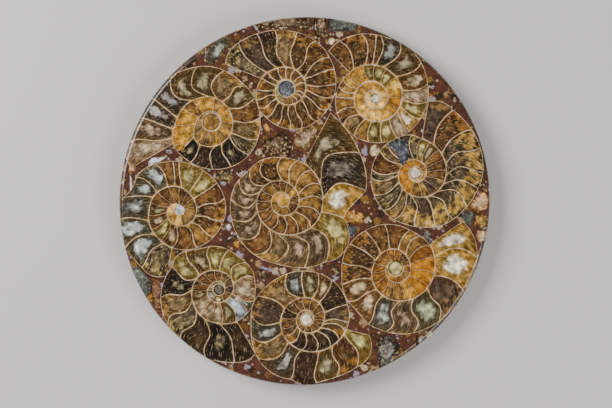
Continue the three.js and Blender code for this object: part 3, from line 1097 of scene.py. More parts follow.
@dataclass(frozen=True)
class Chip:
    """A shell chip or small stone, ground flush with the face.

    Attributes:
        name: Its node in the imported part.
        slot: The record's material slot.
        fill: Its stone.
        outline: Corners on the face, in mm.
        lift: How far it stands above the face, below it if negative, so that it and a coil
            that it touches never share one face.
        shares: Shares of the outline at which its face has a ring.
        worn: Share of each side that its worn corners take.
        foot: Share of the outline that its foot has.
        depth: In mm.
    """

    name: str
    slot: str
    fill: Fill
    outline: tuple[Vec2, ...]
    lift: float = -0.01
    shares: tuple[float, ...] = (0.02, 0.2, 0.4, 0.6, 0.75, 0.88, 1.0)
    worn: float = 0.14
    foot: float = 0.8
    depth: float = 3.4

    def edge(self) -> list[Vec2]:
        """Returns the outline anticlockwise, with its corners worn round."""
        points = list(self.outline)
        area = sum(a[0] * b[1] - b[0] * a[1] for a, b in zip(points, points[1:] + points[:1]))
        if area < 0:
            points.reverse()
        worn, cut = [], self.worn
        for (ax, ay), (bx, by) in zip(points, points[1:] + points[:1]):
            worn.append((ax + (bx - ax) * cut, ay + (by - ay) * cut))
            worn.append((bx + (ax - bx) * cut, by + (ay - by) * cut))
        return worn

    def middle(self) -> Vec2:
        """Returns the mean of the corners."""
        count = len(self.outline)
        return sum(x for x, _ in self.outline) / count, sum(y for _, y in self.outline) / count

    def build(self, material: bpy.types.Material) -> None:
        """Makes the chip's piece.

        Args:
            material: Its finish.
        """
        edge, middle = self.edge(), self.middle()
        size = sum(math.dist(point, middle) for point in edge) / len(edge)
        rings, marks = [], []
        for share in self.shares:
            seats = [PLATE.on_face(x, y) for x, y in drawn_in(edge, middle, share)]
            rings.append([(x, y, z + self.lift) for x, y, z in seats])
            marks += [(0.5, (1 + share) / 2, 1.0)] * len(edge)
        low, floor = drawn_in(edge, middle, self.foot), PLATE.thickness - self.depth
        rings.append([(*PLATE.on_face(x, y)[:2], floor) for x, y in low])
        marks += [(0.5, 1.0, 0.0)] * len(edge)
        mesh = loft(self.name, rings)
        store(mesh, "place", marks)
        store(mesh, "span", [(2 * size, 2 * size, 0.0)] * len(marks))
        store_filling(mesh, [(self.fill.value, Wall.BARE, 1.0)] * len(marks))
        mesh.materials.append(material)
        finish_piece(new_object(f"polished_{self.name}", mesh), self.slot, self.name)


@dataclass(frozen=True)
class Crumb:
    """A bead or splinter too small to be a piece of its own.

    Attributes:
        x: Place on the face, in mm.
        y: Place on the face, in mm.
        length: In mm.
        width: In mm.
        turn: Direction of its length, in degrees.
        fill: Its stone.
    """

    x: float
    y: float
    length: float
    width: float
    turn: float
    fill: Fill


@dataclass(frozen=True)
class Crumbs:
    """All the crumbs, as one piece: worn pebbles, sunk into the face.

    Attributes:
        crumbs: The crumbs.
        height: How thick each is, in mm; all but a trace of it is sunk into the face.
        proud: How far they stand above the face, in mm.
        wear: How much their edges wander, in mm.
        INPUTS: The sizes that their tree asks for.
    """

    INPUTS: ClassVar = (("Roundness", "Int"), ("Wear", "Float"), ("Material", "Material"))
    crumbs: tuple[Crumb, ...]
    height: float = 0.8
    proud: float = 0.03
    wear: float = 0.5

    def tree(self) -> bpy.types.NodeTree:
        """Builds the geometry nodes that set a worn pebble at each point.

        Returns:
            The tree.
        """
        tree, add = new_tree("Crumbs", self.INPUTS)
        given = add("GroupInput").node.outputs
        ball = add("MeshIcoSphere", [0.5 * MM, given["Roundness"]])
        turn, size = (add("InputNamedAttribute FLOAT_VECTOR", [name]) for name in ("turn", "size"))
        points = {"Points": given["Geometry"], "Instance": ball, "Rotation": turn, "Scale": size}
        stones = add("RealizeInstances", [add("InstanceOnPoints", points)])
        # Dents of about 1 mm.
        noise = add("TexNoise", {"Vector": add("InputPosition"), "Scale": 900.0})
        dents = add("VectorMath SUBTRACT", [noise.node.outputs["Color"], (0.5, 0.5, 0.5)])
        flat = add("VectorMath MULTIPLY", [dents, (1.0, 1.0, 0.0)])
        worn = add("VectorMath SCALE", [flat, given["Wear"]])
        moved = add("SetPosition", {"Geometry": stones, "Offset": worn})
        add("GroupOutput", [add("SetMaterial", [moved, None, given["Material"]])])
        return tree

    def build(self, material: bpy.types.Material) -> None:
        """Makes the piece.

        Args:
            material: Its finish.
        """
        mesh = bpy.data.meshes.new("crumbs")
        middle = (PLATE.thickness + self.proud - self.height / 2) * MM
        mesh.from_pydata([(c.x * MM, c.y * MM, middle) for c in self.crumbs], [], [])
        store(mesh, "size", [(c.length, c.width, self.height) for c in self.crumbs])
        store(mesh, "turn", [(0, 0, math.radians(c.turn)) for c in self.crumbs])
        store(mesh, "place", [(0.5, 0.7, 1.0)] * len(self.crumbs))
        store(mesh, "span", [(c.length, c.width, 0.0) for c in self.crumbs])
        store_filling(mesh, [(c.fill.value, Wall.BARE, 1.0) for c in self.crumbs])
        piece = new_object("polished_crumbs", mesh)
        sizes = {"Roundness": 3, "Wear": self.wear * MM, "Material": material}
        bake_tree(piece, self.tree(), sizes)
        finish_piece(piece, "cream_stone")


@dataclass(frozen=True)
class Ground:
    """The limestone that holds everything, with a pocket for each piece.

    Attributes:
        coils: The ammonites that sit in it.
        chips: The chips that sit in it.
        coil_bowl: Pocket of a coil, from above the face down, as share of the outline and
            depth under the face.
        chip_bowl: The same for a chip.
    """

    coils: tuple[Coil, ...]
    chips: tuple[Chip, ...]
    coil_bowl: tuple[Vec2, ...] = (
        (1.0, -1.0), (1.0, 3.25), (0.93, 3.5), (0.85, 4.3), (0.7, 6.2), (0.56, 7.2),
    )
    chip_bowl: tuple[Vec2, ...] = ((1.0, -1.0), (1.0, 0.0), (0.82, 3.5))

    def pockets(self) -> list[bpy.types.Object]:
        """Returns one closed body for each pocket, open above the face."""
        holes = [(c.name, c.outline(), c.centre, self.coil_bowl) for c in self.coils]
        holes += [(c.name, c.edge(), c.middle(), self.chip_bowl) for c in self.chips]
        made = []
        for name, edge, centre, bowl in holes:
            rings = [
                [(x, y, PLATE.thickness - depth) for x, y in drawn_in(edge, centre, share)]
                for share, depth in bowl
            ]
            made.append(bpy.data.objects.new(f"pocket_{name}", loft(name, rings)))
        return made

    def build(self, material: bpy.types.Material) -> None:
        """Makes the ground's piece.

        Args:
            material: Its finish.
        """
        piece = new_object("polished_matrix", loft("matrix", PLATE.blank()))
        tools = bpy.data.collections.new("pockets")
        bpy.context.scene.collection.children.link(tools)
        bodies = self.pockets()
        for body in bodies:
            tools.objects.link(body)
            cut = piece.modifiers.new(body.name, "BOOLEAN")
            cut.operation, cut.solver, cut.object = "DIFFERENCE", "MANIFOLD", body
        made = evaluated(piece)
        piece.modifiers.clear()
        piece.data = made
        for body in bodies:
            bpy.data.objects.remove(body)
        bpy.data.collections.remove(tools)
        made.materials.clear()
        made.materials.append(material)
        finish_piece(piece, "matrix_stone", "matrix")


@dataclass(frozen=True)
class Lamp:
    """One soft square lamp, which looks at the plate.

    Attributes:
        name: Its name.
        place: In metres.
        size: Its side, in metres.
        watts: Its power.
    """

    name: str
    place: Vec3
    size: float
    watts: float

    def build(self) -> None:
        """Makes the lamp."""
        lamp = bpy.data.lights.new(self.name, "AREA")
        lamp.size, lamp.energy = self.size, self.watts
        light = new_object(self.name, lamp)
        light.location = self.place
        light.rotation_euler = (-light.location.normalized()).to_track_quat("-Z", "Y").to_euler()


@dataclass(frozen=True)
class Studio:
    """Pale floor, soft lights and the camera straight above the polished face.

    Attributes:
        lens: In mm.
        off_centre: Where the camera looks, in mm on the face.
        frame_width: What the picture's width covers on the face, in mm.
        floor_reach: Half the side of the floor, in metres.
        paper: Colour of the floor.
        paper_roughness: Of the floor.
        sky: Colour of the light from all round.
        sky_strength: Of the light from all round.
        lamps: The lamps.
    """

    lens: float = 85.0
    off_centre: Vec2 = (0.76, -1.62)
    frame_width: float = 330.4
    floor_reach: float = 3.0
    paper: str = "#E4E2DE"
    paper_roughness: float = 0.9
    sky: str = "#F2F2F4"
    sky_strength: float = 0.22
    lamps: tuple[Lamp, ...] = (
        Lamp("key", (-0.75, 0.35, 0.75), 0.6, 13.0), Lamp("fill", (0.7, -0.5, 0.7), 0.7, 7.0),
    )

    def build(self) -> None:
        """Makes the floor, the lights and the camera."""
        camera = bpy.data.cameras.new("camera")
        camera.lens = self.lens
        eye = new_object("camera", camera)
        distance = self.frame_width * self.lens / camera.sensor_width
        x, y = self.off_centre
        eye.location = (x * MM, y * MM, (PLATE.thickness + distance) * MM)
        bpy.context.scene.camera = eye

        mesh = bpy.data.meshes.new("floor")
        r = self.floor_reach
        mesh.from_pydata([(-r, -r, 0), (r, -r, 0), (r, r, 0), (-r, r, 0)], [], [(0, 1, 2, 3)])
        paint = bpy.data.materials.new("Pale studio paper")
        paint.use_nodes = True
        look = paint.node_tree.nodes["Principled BSDF"].inputs
        look["Base Color"].default_value = (*linear(self.paper), 1)
        look["Roughness"].default_value = self.paper_roughness
        mesh.materials.append(paint)
        new_object("floor", mesh)

        world = bpy.data.worlds.new("studio")
        world.use_nodes = True
        light = world.node_tree.nodes["Background"].inputs
        light["Color"].default_value = (*linear(self.sky), 1)
        light["Strength"].default_value = self.sky_strength
        bpy.context.scene.world = world
        for lamp in self.lamps:
            lamp.build()


COILS: tuple[Coil, ...] = (
    Coil(
        "ammonite_top", "brown_stone", (-9.9, 60.6),
        (
            (0, 4.6), (100, 5.1), (190, 5.9), (240, 7.8), (300, 9.2), (360, 10.5), (420, 11.3),
            (480, 12.4), (518, 14.6), (570, 17.8), (600, 19.4), (630, 21.6), (660, 23.5), (690, 24.8),
            (720, 26.7), (750, 28.6), (780, 30.5), (810, 31.6), (837, 33.7), (852, 35.4), (868, 36.9),
            (878, 35.4),
        ),
        (
            0, 60, 115, 160, 190, 205, 225, 240, 255, 275, 293, 310, 330, 345, 378, 400, 426, 449, 473,
            499, 520, 546, 564, 581, 599, 619, 637, 655, 677, 695, 712, 727, 745, 756, 779, 797, 819,
            838, 860, 878,
        ),
        "OOPPPPPPAAbbbbbbbbBBBBBBBBBBBBbBBBBOdUD",
        (
            Bend(0, -2, 4, -2), Bend(500, 3, 0, -4), Bend(564, 7, -3, -4, -3), Bend(581, 5, 1, -6, -3),
            Bend(599, 3, 1, -4, -2), Bend(637, 4, -2, -2, -3), Bend(655, 5, -1, -4, -3),
            Bend(677, 7, -4, -3, 2), Bend(695, 5, -3, -2, 2), Bend(712, 6, -5, -1),
            Bend(727, 4, -3, -1, -1), Bend(745, 4, 0, -3, -1), Bend(756, -6, 6, 0, 1),
            Bend(779, 2, 0, -1, -4), Bend(797, -8, 6, 2, 3), Bend(819, -7, 5, 2, 4),
            Bend(838, -4, 4, 0, 3), Bend(860, 0, 3, -4),
        ),
        300, "S", 3,
    ),
    Coil(
        "ammonite_top_right", "honey_stone", (38.0, 55.3),
        (
            (0, 2.7), (60, 3.8), (120, 4.9), (240, 5.6), (300, 5.9), (360, 6.9), (420, 8.1),
            (480, 10.4), (540, 11.3), (600, 11.9), (660, 13.1), (720, 14.7), (780, 16.7), (830, 18.9),
            (855, 19.7), (900, 21.4), (930, 22.2), (960, 23.2), (990, 24.0), (1020, 24.8), (1050, 26.6),
            (1080, 28.6), (1100, 30.0), (1120, 31.9), (1140, 32.9), (1160, 33.7), (1185, 36.0),
            (1206, 36.5), (1214.5, 35.9),
        ),
        (
            0, 60, 120, 180, 240, 290, 330, 360, 390, 415, 440, 465, 490, 515, 540, 562, 585, 607, 630,
            652, 675, 698, 720, 742, 765, 788, 810, 828, 845, 857, 870, 883, 898, 921, 941, 962, 981,
            1001, 1021, 1042, 1058, 1076, 1095, 1120, 1148, 1165, 1171, 1182, 1202, 1214.5,
        ),
        "yyyyyyyyYYYYYYYyyyyYYMYyPPPYYYAAAbOAPPpWPpcoGbbBb",
        (
            Bend(0, 0, 4, 0), Bend(845, 0, 5, -2), Bend(898, 0, 1, -1), Bend(921, 3, -3, 1),
            Bend(941, 5, -5, 0), Bend(962, 3, -3, 0), Bend(981, 1, -3, 1), Bend(1001, 4, -2, -2),
            Bend(1042, 8, -4, -4), Bend(1058, 5, -3, -2), Bend(1076, 2, -3, 1), Bend(1120, 6, -4, -2),
            Bend(1148, 8, -6, -2), Bend(1165, 4, -4, 0), Bend(1171, 3, -1, -2), Bend(1182, 4, -4, 0),
        ),
        845, "W", 5, ring_until=742,
    ),
    Coil(
        "ammonite_upper_left", "olive_stone", (-50.5, 42.7),
        (
            (-147, 4.9), (60, 5.7), (150, 6.5), (200, 9.7), (235, 13.2), (300, 12.7), (360, 11.6),
            (390, 11.6), (420, 12.1), (450, 13.5), (480, 14.6), (510, 16.7), (540, 18.9), (573, 24.0),
            (593, 24.3), (620, 25.3), (635, 25.8), (650, 26.5), (680, 27.2), (720, 26.7), (750, 27.0),
            (780, 27.5), (810, 30.0), (840, 31.9), (860, 34.6), (880, 38.9), (900, 44.3), (920, 49.7),
            (930, 49.7),
        ),
        (
            -147, -80, 0, 60, 120, 165, 195, 215, 235, 255, 275, 295, 315, 335, 355, 375, 395, 415, 440,
            465, 490, 515, 545, 573, 581, 604, 633, 654, 679, 695, 723, 751, 774, 800, 826, 855, 884,
            902, 918, 930,
        ),
        "AAAAAAAAAAYAYAYYMAYYAYYYkdKkDOboOooLLRp",
        (
            Bend(-200, 0, 2, 0), Bend(573, -1, 2, -1), Bend(633, 6, -5, -1, -2),
            Bend(654, 3, -3, 0, -2), Bend(679, 4, -4, 0, -1), Bend(695, -4, -1, 5, 1),
            Bend(723, 1, -4, 3), Bend(751, 8, -6, -2, -2), Bend(774, 8, 1, -10, -4),
            Bend(800, -4, 9, -5, 2), Bend(826, -9, 12, -2, 3), Bend(855, -4, 9, -5, 1),
            Bend(884, 9, -3, -6), Bend(902, 9, -3, -5), Bend(918, 4, -2, -2, 2),
        ),
        570, "A", 7,
    ),
    Coil(
        "ammonite_right", "dark_stone", (59.9, 15.1),
        (
            (-210, 3.5), (-150, 4.0), (-90, 4.9), (0, 5.8), (60, 6.7), (120, 7.6), (180, 9.0),
            (240, 11.1), (270, 12.7), (300, 14.3), (330, 15.7), (390, 17.3), (440, 18.9), (455, 20.8),
            (480, 21.6), (510, 22.9), (540, 24.0), (570, 25.6), (600, 27.5), (630, 29.0), (660, 31.9),
            (680, 32.8), (700, 34.3), (720, 36.4), (750, 38.1), (776, 39.4), (792, 41.0), (800, 39.1),
        ),
        (
            -210, -150, -90, -40, 10, 60, 100, 140, 180, 220, 255, 285, 303, 322, 343, 365, 385, 405,
            425, 442, 458, 477, 495, 510, 538, 549, 570, 592, 608, 626, 653, 668, 687, 705, 721, 741,
            759, 780, 800,
        ),
        "yyYMrMMMMMAAUUbbboPDLbObDODOHHHHHHHHBU",
        (
            Bend(-300, 0, 2, 0), Bend(430, -2, 5, -3), Bend(626, -9, 6, 3, 4), Bend(653, 1, 1, -3, 1),
            Bend(668, -6, 5, 1, 4), Bend(687, -8, 9, -1, 2), Bend(705, -7, 6, 1, 2),
            Bend(721, -5, 6, -1, 3), Bend(741, -4, 4, 0, 3), Bend(759, -3, 4, -1, 1),
        ),
        440, "W", 11,
    ),
    Coil(
        "ammonite_left", "honey_stone", (-67.5, -4.9),
        (
            (0, 2.7), (90, 2.7), (150, 5.3), (210, 7.4), (240, 8.1), (300, 8.9), (390, 9.4),
            (420, 10.3), (450, 12.4), (510, 15.7), (540, 16.5), (570, 18.1), (600, 19.4), (619, 20.8),
            (640, 21.9), (690, 23.8), (720, 25.1), (780, 25.1), (804, 26.1), (832, 27.5), (850, 29.4),
            (862, 29.8), (880, 28.3), (890, 31.9), (915, 35.6), (945, 36.1), (965, 38.1), (973, 38.7),
            (979, 36.2),
        ),
        (
            0, 60, 120, 170, 210, 245, 280, 310, 340, 370, 400, 425, 450, 475, 500, 525, 550, 575, 598,
            620, 655, 679, 704, 731, 757, 780, 808, 819, 836, 861, 881, 913, 937, 959, 979,
        ),
        "oCyyYyAAAAbbAbbocPcbABBbPPbbNGGNND",
        (
            Bend(0, 0, 3, 0), Bend(600, -2, 6, -3), Bend(655, -2, 2, 0, 3), Bend(679, -5, 1, 4, 3),
            Bend(757, 2, -1, -1), Bend(808, -4, 2, 2), Bend(819, 2, -1, -1), Bend(836, 1, -3, 2),
            Bend(881, -7, 0, 7), Bend(913, 6, -4, -2), Bend(937, 7, -5, -2, -1),
            Bend(959, 6, -4, -2, -2),
        ),
        600, "C", 13,
    ),
    Coil(
        "ammonite_centre", "honey_stone", (-11.4, 0.0),
        (
            (0, 3.2), (60, 4.0), (120, 5.4), (180, 6.5), (240, 7.6), (300, 8.0), (360, 8.4), (420, 9.4),
            (480, 12.1), (540, 14.3), (600, 16.7), (660, 19.7), (690, 21.1), (720, 21.3), (750, 22.1),
            (782, 23.2), (810, 23.5), (837, 25.2), (858, 25.2), (882, 27.5), (910, 29.3), (936, 31.1),
            (960, 33.0), (987, 34.6), (1012, 38.7), (1033, 40.8), (1048, 42.8), (1053, 41.3),
            (1059, 35.1), (1066, 33.7), (1073, 35.1), (1081, 41.3), (1090, 46.2), (1104, 47.6),
            (1123, 50.6), (1142, 54.0),
        ),
        (
            0, 60, 120, 180, 240, 300, 345, 380, 410, 435, 460, 482, 512, 538, 562, 585, 608, 632, 655,
            678, 701, 724, 747, 770, 793, 815, 840, 860, 880, 901, 922, 944, 966, 984, 1010, 1033, 1064,
            1089, 1114, 1142,
        ),
        "YYMAAbbYAbbAbbbbbbAbAAAAABBRRRRbORRPWgo",
        (
            Bend(0, 0, 4, 0), Bend(600, -2, 6, -3), Bend(840, 0, 10, -6), Bend(901, -6, 9, -3, 3),
            Bend(922, -4, 7, -3, 2), Bend(944, -3, 8, -5), Bend(984, -9, 12, -3, 3),
            Bend(1010, -6, 9, -3, 3), Bend(1033, 2, 7, -9), Bend(1060, 0, 1, 0),
            Bend(1089, -6, 8, -2, 3), Bend(1114, -9, 11, -2, 4),
        ),
        600, "Y", 17,
    ),
    Coil(
        "ammonite_lower_right", "honey_stone", (49.1, -36.3),
        (
            (0, 4.3), (90, 4.0), (150, 4.6), (210, 5.9), (270, 7.8), (330, 8.1), (390, 8.4),
            (450, 10.3), (510, 11.3), (540, 12.4), (600, 15.9), (660, 18.9), (720, 21.3), (755, 22.4),
            (773, 21.9), (789, 22.1), (820, 24.3), (853, 26.5), (882, 28.7), (904, 29.3), (929, 31.2),
            (949, 31.4), (960, 33.4), (978, 34.4), (1001, 36.2), (1038, 37.5), (1062, 40.0),
            (1084, 44.1), (1105, 45.7), (1115, 44.3),
        ),
        (
            0, 60, 120, 180, 230, 270, 305, 340, 370, 400, 425, 450, 475, 500, 525, 550, 575, 600, 622,
            645, 668, 690, 712, 735, 755, 775, 796, 825, 851, 874, 899, 919, 941, 964, 988, 1012, 1039,
            1066, 1094, 1115,
        ),
        "bYyMMrArbbrrrrrrrAAYMMMrAAbbBBBccGRTUWW",
        (
            Bend(0, 0, 4, 0), Bend(750, -2, 6, -3), Bend(796, 5, 2, -7), Bend(825, 3, -2, -1),
            Bend(851, 5, -3, -2, -1), Bend(899, 8, -3, -5, -2), Bend(919, 5, -3, -2, -1),
            Bend(941, 7, -1, -6, -2), Bend(964, 1, -1, 0, -2), Bend(988, 9, -2, -7, -5),
            Bend(1012, 7, 0, -7, -4), Bend(1039, 9, 1, -10, -3), Bend(1066, 3, 3, -6),
            Bend(1094, 2, 5, -7),
        ),
        750, "P", 19,
    ),
    Coil(
        "ammonite_lower_left", "olive_stone", (-46.3, -47.9),
        (
            (0, 3.2), (90, 4.6), (150, 5.1), (210, 6.7), (330, 6.9), (360, 7.8), (420, 9.4),
            (450, 10.0), (510, 13.2), (570, 15.7), (600, 17.3), (630, 18.1), (660, 19.7), (704, 20.1),
            (720, 19.8), (751, 20.9), (780, 21.0), (815, 23.8), (837, 24.8), (853, 28.1), (864, 29.2),
            (879, 27.7), (890, 30.0), (910, 32.0), (938, 33.9), (960, 36.2), (983, 38.0), (1006, 40.6),
            (1016, 41.5), (1020, 40.0),
        ),
        (
            0, 60, 120, 180, 235, 290, 340, 375, 405, 435, 462, 490, 515, 540, 565, 590, 612, 635, 660,
            683, 701, 743, 768, 803, 828, 857, 876, 905, 929, 950, 974, 999, 1020,
        ),
        "gooTobUUObbbbcpppoCNpPPPoPkODdkd",
        (
            Bend(0, 0, 4, 0), Bend(650, -2, 6, -3), Bend(701, 3, -5, 2), Bend(743, 1, 4, -5, -1),
            Bend(768, -7, 10, -4, 3), Bend(803, 5, 1, -7), Bend(828, 5, 1, -6, -2),
            Bend(857, 7, 0, -7, -2), Bend(876, -3, 6, -3, 3), Bend(905, -5, 2, 3, 3),
            Bend(929, -7, 2, 5, 5), Bend(974, -9, 4, 5, 4), Bend(999, -8, 5, 3, 2),
        ),
        640, "g", 23,
    ),
    Coil(
        "ammonite_bottom", "dark_stone", (1.3, -63.9),
        (
            (0, 3.5), (90, 5.0), (180, 5.7), (240, 6.7), (300, 7.8), (360, 9.3), (420, 11.1),
            (465, 11.9), (510, 13.2), (570, 15.1), (630, 17.3), (660, 18.9), (690, 20.8), (706, 22.1),
            (720, 22.9), (750, 23.8), (768, 25.0), (797, 25.8), (828, 26.8), (858, 28.2), (885, 30.4),
            (905, 30.5), (933, 33.4), (953, 34.8), (972, 33.4), (987, 35.1), (1011, 34.6), (1039, 37.7),
            (1052, 39.1), (1057, 40.5), (1066, 34.6),
        ),
        (
            0, 60, 120, 170, 215, 255, 290, 325, 355, 385, 410, 435, 460, 485, 510, 535, 560, 578, 597,
            623, 649, 673, 690, 705, 716, 741, 775, 795, 816, 835, 873, 903, 925, 947, 976, 1003, 1025,
            1048, 1066,
        ),
        "PAbAbbbbBbBBBBdBBBdddKBOUdcoGOUGOLdoBP",
        (
            Bend(0, 0, 4, 0), Bend(560, -2, 6, -3), Bend(716, -4, 4, 0, 2), Bend(741, 0, 1, -1),
            Bend(775, -1, -2, 3), Bend(795, 2, -4, 2, -1), Bend(816, -1, 2, -1),
            Bend(835, -7, 9, -2, 2), Bend(873, 1, -3, 2, -1), Bend(903, 3, 5, -8, -1),
            Bend(947, 3, 6, -9), Bend(976, 3, -2, -1, -2), Bend(1003, 7, -3, -4, 1),
            Bend(1025, 8, 0, -8, -3), Bend(1048, 10, 2, -12, -2),
        ),
        560, "W", 29,
    ),
)

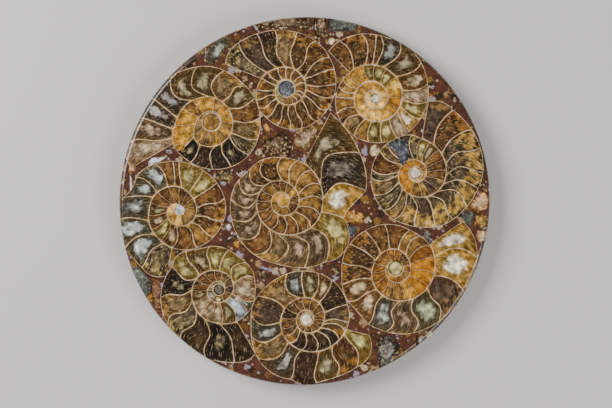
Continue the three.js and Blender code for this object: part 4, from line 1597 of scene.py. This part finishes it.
CHIPS: tuple[Chip, ...] = (
    Chip("blue_grey_stone", "blue_grey_stone", Fill.SLATE, (
        (44.2, 29.7), (46.7, 31.6), (50.4, 33.2), (53.7, 33.2), (55.6, 30.8), (56.1, 23.2),
        (54.8, 20.5), (52.9, 18.9), (51.0, 22.1), (49.4, 26.5), (46.7, 28.1),
    ), lift=0.03),
    Chip("olive_grey_chip", "olive_stone", Fill.GREY, (
        (-52.2, 84.2), (-47.8, 87.7), (-42.4, 90.2), (-39.2, 87.7), (-40.0, 85.0), (-44.6, 79.4),
        (-46.5, 75.9), (-49.5, 73.4), (-51.9, 73.4), (-53.5, 75.1),
    )),
    Chip("crinoid_chip", "rose_stone", Fill.RUBBLE, (
        (-30.0, 95.6), (-23.0, 98.8), (-11.7, 101.5), (-0.9, 102.1), (2.4, 101.0), (2.4, 92.9),
        (-2.5, 92.9), (-11.7, 94.0), (-18.7, 93.1), (-25.7, 91.8),
    )),
    Chip("olive_shell_chip", "olive_stone", Fill.RUBBLE, (
        (5.3, 101.0), (11.6, 101.5), (11.6, 95.0), (11.0, 91.8), (12.6, 89.1), (9.4, 87.5), (6.2, 88.6),
        (5.1, 91.8),
    )),
    Chip("teal_chip", "teal_stone", Fill.DARK_TEAL, (
        (12.4, 101.0), (19.1, 101.5), (26.1, 99.9), (28.6, 95.6), (28.3, 92.3), (24.0, 91.3),
        (12.4, 91.5),
    )),
    Chip("cream_chip", "cream_stone", Fill.CREAM_CHIP, (
        (13.2, 87.7), (15.1, 88.3), (16.7, 86.9), (14.8, 84.2), (12.9, 84.8),
    )),
    Chip("brown_shell_chip", "brown_stone", Fill.RUBBLE, (
        (-22.5, 32.4), (-17.6, 34.6), (-11.7, 37.5), (-9.2, 35.6), (-7.1, 31.9), (-7.1, 25.1),
        (-17.6, 24.6), (-22.7, 25.4), (-23.5, 28.6),
    )),
    Chip("pearl_shell_chip", "pearl_stone", Fill.PINK, (
        (-4.6, 37.3), (-0.3, 39.7), (4.5, 41.0), (6.7, 38.6), (4.0, 32.4), (2.1, 28.3), (-0.9, 26.5),
        (-3.8, 28.1), (-5.8, 31.3),
    )),
    Chip("amber_bead", "honey_stone", Fill.OCHRE, (
        (-21.7, 42.1), (-19.8, 41.6), (-18.7, 39.4), (-19.5, 36.7), (-21.4, 38.1), (-22.7, 39.4),
    )),
    Chip("hooked_shell_chip", "cream_stone", Fill.CREAM_CHIP, (
        (35.9, 29.7), (39.1, 30.8), (40.7, 28.1), (39.6, 25.4), (36.9, 23.8), (34.8, 25.9),
    )),
    Chip("honey_block", "honey_stone", Fill.OCHRE, (
        (21.8, -5.1), (27.8, -5.5), (31.5, -6.7), (32.3, -8.9), (31.8, -11.9), (25.6, -12.6),
        (21.0, -11.8), (21.3, -8.1),
    )),
    Chip("blue_grey_wedge", "blue_grey_stone", Fill.SLATE, (
        (21.8, -13.1), (28.8, -14.0), (25.3, -20.0),
    )),
    Chip("teal_green_stone", "teal_stone", Fill.DARK_TEAL, (
        (84.2, -8.4), (87.1, -5.7), (90.7, -5.7), (91.4, -7.6), (90.7, -10.8), (89.8, -13.8),
        (87.7, -11.9), (85.5, -10.0),
    )),
    Chip("peach_shell_chip", "rose_stone", Fill.PEACH, (
        (91.5, 1.1), (94.7, 4.6), (97.9, 4.3), (99.3, 0.5), (98.5, -4.3), (94.7, -5.4), (90.9, -4.6),
        (89.6, -2.7),
    )),
    Chip("orange_lump", "honey_stone", Fill.OCHRE, (
        (91.9, -7.6), (95.2, -6.8), (98.5, -7.6), (99.3, -11.3), (98.5, -15.1), (93.1, -15.1),
        (91.0, -12.4),
    )),
    Chip("rose_rim_chip", "rose_stone", Fill.PEACH, (
        (93.1, -16.1), (98.2, -16.1), (97.9, -21.1), (94.7, -22.7), (92.5, -19.4),
    )),
    Chip("white_teal_chip", "pearl_stone", Fill.FLECKED, (
        (63.1, -15.7), (66.1, -15.4), (67.7, -17.3), (68.5, -20.0), (70.4, -22.4), (68.8, -23.5),
        (66.1, -21.1), (63.7, -18.6),
    )),
    Chip("flecked_grey_chip", "pearl_stone", Fill.FLECKED, (
        (41.3, -73.4), (44.5, -72.1), (47.2, -73.7), (50.4, -76.4), (51.5, -78.8), (49.4, -82.1),
        (45.6, -88.0), (45.0, -89.1), (40.2, -91.3), (39.4, -85.9), (39.0, -79.9), (39.9, -75.6),
    )),
    Chip("brown_rim_chip", "brown_stone", Fill.BROWN, (
        (52.3, -78.6), (55.3, -80.5), (56.9, -83.7), (50.4, -86.4), (46.7, -89.1), (47.2, -86.4),
        (50.2, -82.1),
    )),
    Chip("lilac_rim_chip", "rose_stone", Fill.LILAC, (
        (60.4, -72.9), (63.4, -71.8), (65.0, -73.4), (65.0, -76.1), (61.2, -79.4), (59.6, -76.1),
    )),
    Chip("quartz_wedge", "pearl_stone", Fill.SNOW, (
        (-83.5, 22.4), (-80.8, 23.8), (-76.5, 23.5), (-73.8, 24.3), (-76.5, 22.4), (-79.7, 20.5),
        (-84.0, 18.9), (-84.6, 20.5),
    )),
    Chip("white_splinter", "cream_stone", Fill.SNOW, (
        (-94.4, 13.0), (-93.3, 12.4), (-92.7, 4.9), (-93.5, 3.2), (-94.3, 4.9),
    )),
    Chip("tan_rim_chip", "cream_stone", Fill.PEACH, (
        (-95.4, 17.8), (-93.2, 19.7), (-91.0, 18.6), (-91.3, 16.2), (-94.8, 15.7),
    )),
    Chip("golden_tooth", "honey_stone", Fill.YELLOW, (
        (-68.9, 36.2), (-67.3, 37.5), (-63.8, 37.0), (-63.2, 34.6), (-64.8, 31.3), (-65.1, 27.5),
        (-66.2, 26.2), (-67.3, 28.6), (-68.4, 31.9),
    ), lift=0.03),
    Chip("dark_speckled_chip", "dark_stone", Fill.SPECKLED, (
        (-47.8, 15.4), (-43.5, 16.7), (-40.8, 17.0), (-39.2, 15.7), (-38.7, 12.4), (-41.9, 10.0),
        (-46.2, 10.8), (-48.1, 13.0),
    )),
    Chip("ochre_lump", "honey_stone", Fill.OCHRE, (
        (-38.7, -22.7), (-37.0, -20.2), (-34.9, -21.3), (-34.3, -23.8), (-35.4, -26.5), (-37.6, -25.4),
    )),
    Chip("pearl_bead", "pearl_stone", Fill.PEARL, (
        (-43.5, -13.5), (-40.8, -12.1), (-39.2, -14.0), (-40.3, -16.2), (-42.4, -15.7),
    )),
    Chip("lilac_sliver", "pearl_stone", Fill.LILAC, (
        (-43.0, -21.3), (-40.3, -18.6), (-38.1, -17.5), (-38.4, -20.0), (-40.8, -22.1), (-43.8, -23.2),
    )),
    Chip("curved_tan_chip", "rose_stone", Fill.RUBBLE, (
        (-26.0, -37.3), (-24.1, -36.2), (-21.4, -37.0), (-19.8, -39.4), (-20.8, -43.2), (-23.0, -41.6),
        (-24.6, -38.9),
    )),
    Chip("grey_shell_chip", "rose_stone", Fill.RUBBLE, (
        (13.7, -35.1), (15.9, -33.7), (18.6, -36.2), (19.7, -40.5), (17.0, -41.0), (14.8, -38.6),
    )),
    Chip("teal_rim_slab", "teal_stone", Fill.DARK_TEAL, (
        (-93.7, -35.1), (-90.5, -35.6), (-85.6, -40.0), (-82.9, -44.3), (-83.2, -48.1), (-85.6, -51.8),
        (-89.4, -47.5), (-93.2, -41.0),
    )),
    Chip("red_brown_slab", "rose_stone", Fill.REDDISH, (
        (-82.2, -41.6), (-78.1, -43.5), (-77.3, -48.6), (-78.3, -55.1), (-77.5, -59.4), (-80.8, -62.6),
        (-82.4, -55.6), (-80.8, -52.9), (-82.4, -48.6), (-82.2, -44.8),
    )),
    Chip("ochre_rim_slab", "honey_stone", Fill.OCHRE, (
        (-87.3, -51.8), (-82.9, -48.9), (-81.3, -52.9), (-82.9, -55.6), (-82.9, -59.9), (-86.2, -55.6),
    )),
    Chip("rose_grey_chip", "rose_stone", Fill.RUBBLE, (
        (-33.3, -60.7), (-31.1, -61.0), (-30.3, -63.7), (-31.1, -66.4), (-33.3, -65.9), (-34.1, -63.2),
    )),
)

CRUMBS: tuple[Crumb, ...] = (
    Crumb(4.2, 93.6, 4.4, 1.3, 82, Fill.BLUE),
    Crumb(-6.5, 28.6, 6.6, 1.0, 92, Fill.CREAM_CHIP),
    Crumb(8.9, 42.1, 2.0, 1.7, 0, Fill.BLUE),
    Crumb(-29.5, 22.1, 2.4, 1.9, 20, Fill.BLUE),
    Crumb(7.2, -36.7, 1.8, 1.8, 0, Fill.BLUE),
    Crumb(18.6, -32.9, 2.3, 1.8, 10, Fill.BLUE),
    Crumb(-24.6, -45.9, 1.7, 1.4, 0, Fill.BLUE),
    Crumb(34.8, -3.8, 3.8, 2.8, 30, Fill.PINK),
    Crumb(35.6, -10.8, 2.6, 4.4, 15, Fill.PEARL),
    Crumb(-16.5, -39.1, 4.4, 2.4, 10, Fill.PEARL),
    Crumb(67.0, -71.8, 4.0, 3.0, 30, Fill.CREAM_CHIP),
    Crumb(34.4, -87.6, 5.4, 3.6, 0, Fill.PEACH),
    Crumb(-91.6, 26.4, 2.8, 2.0, 60, Fill.PEACH),
)


# How much higher each coil stands than the one before, in mm.
COIL_STEP = 0.002


def main() -> None:
    """Builds the plate, piece by piece, and reports each."""
    logging.basicConfig(level=logging.INFO, format="%(name)s: %(message)s")
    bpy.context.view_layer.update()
    Studio().build()
    shell = CutStone("Agatised ammonite, polished").material()
    tree = BendingTree().tree
    for place, coil in enumerate(COILS):
        coil.build(tree, shell, lift=COIL_STEP * place)
    for chip in CHIPS:
        chip.build(shell)
    Crumbs(CRUMBS).build(shell)
    Ground(COILS, CHIPS).build(RedLimestone().material())


if __name__ == "__main__":
    main()
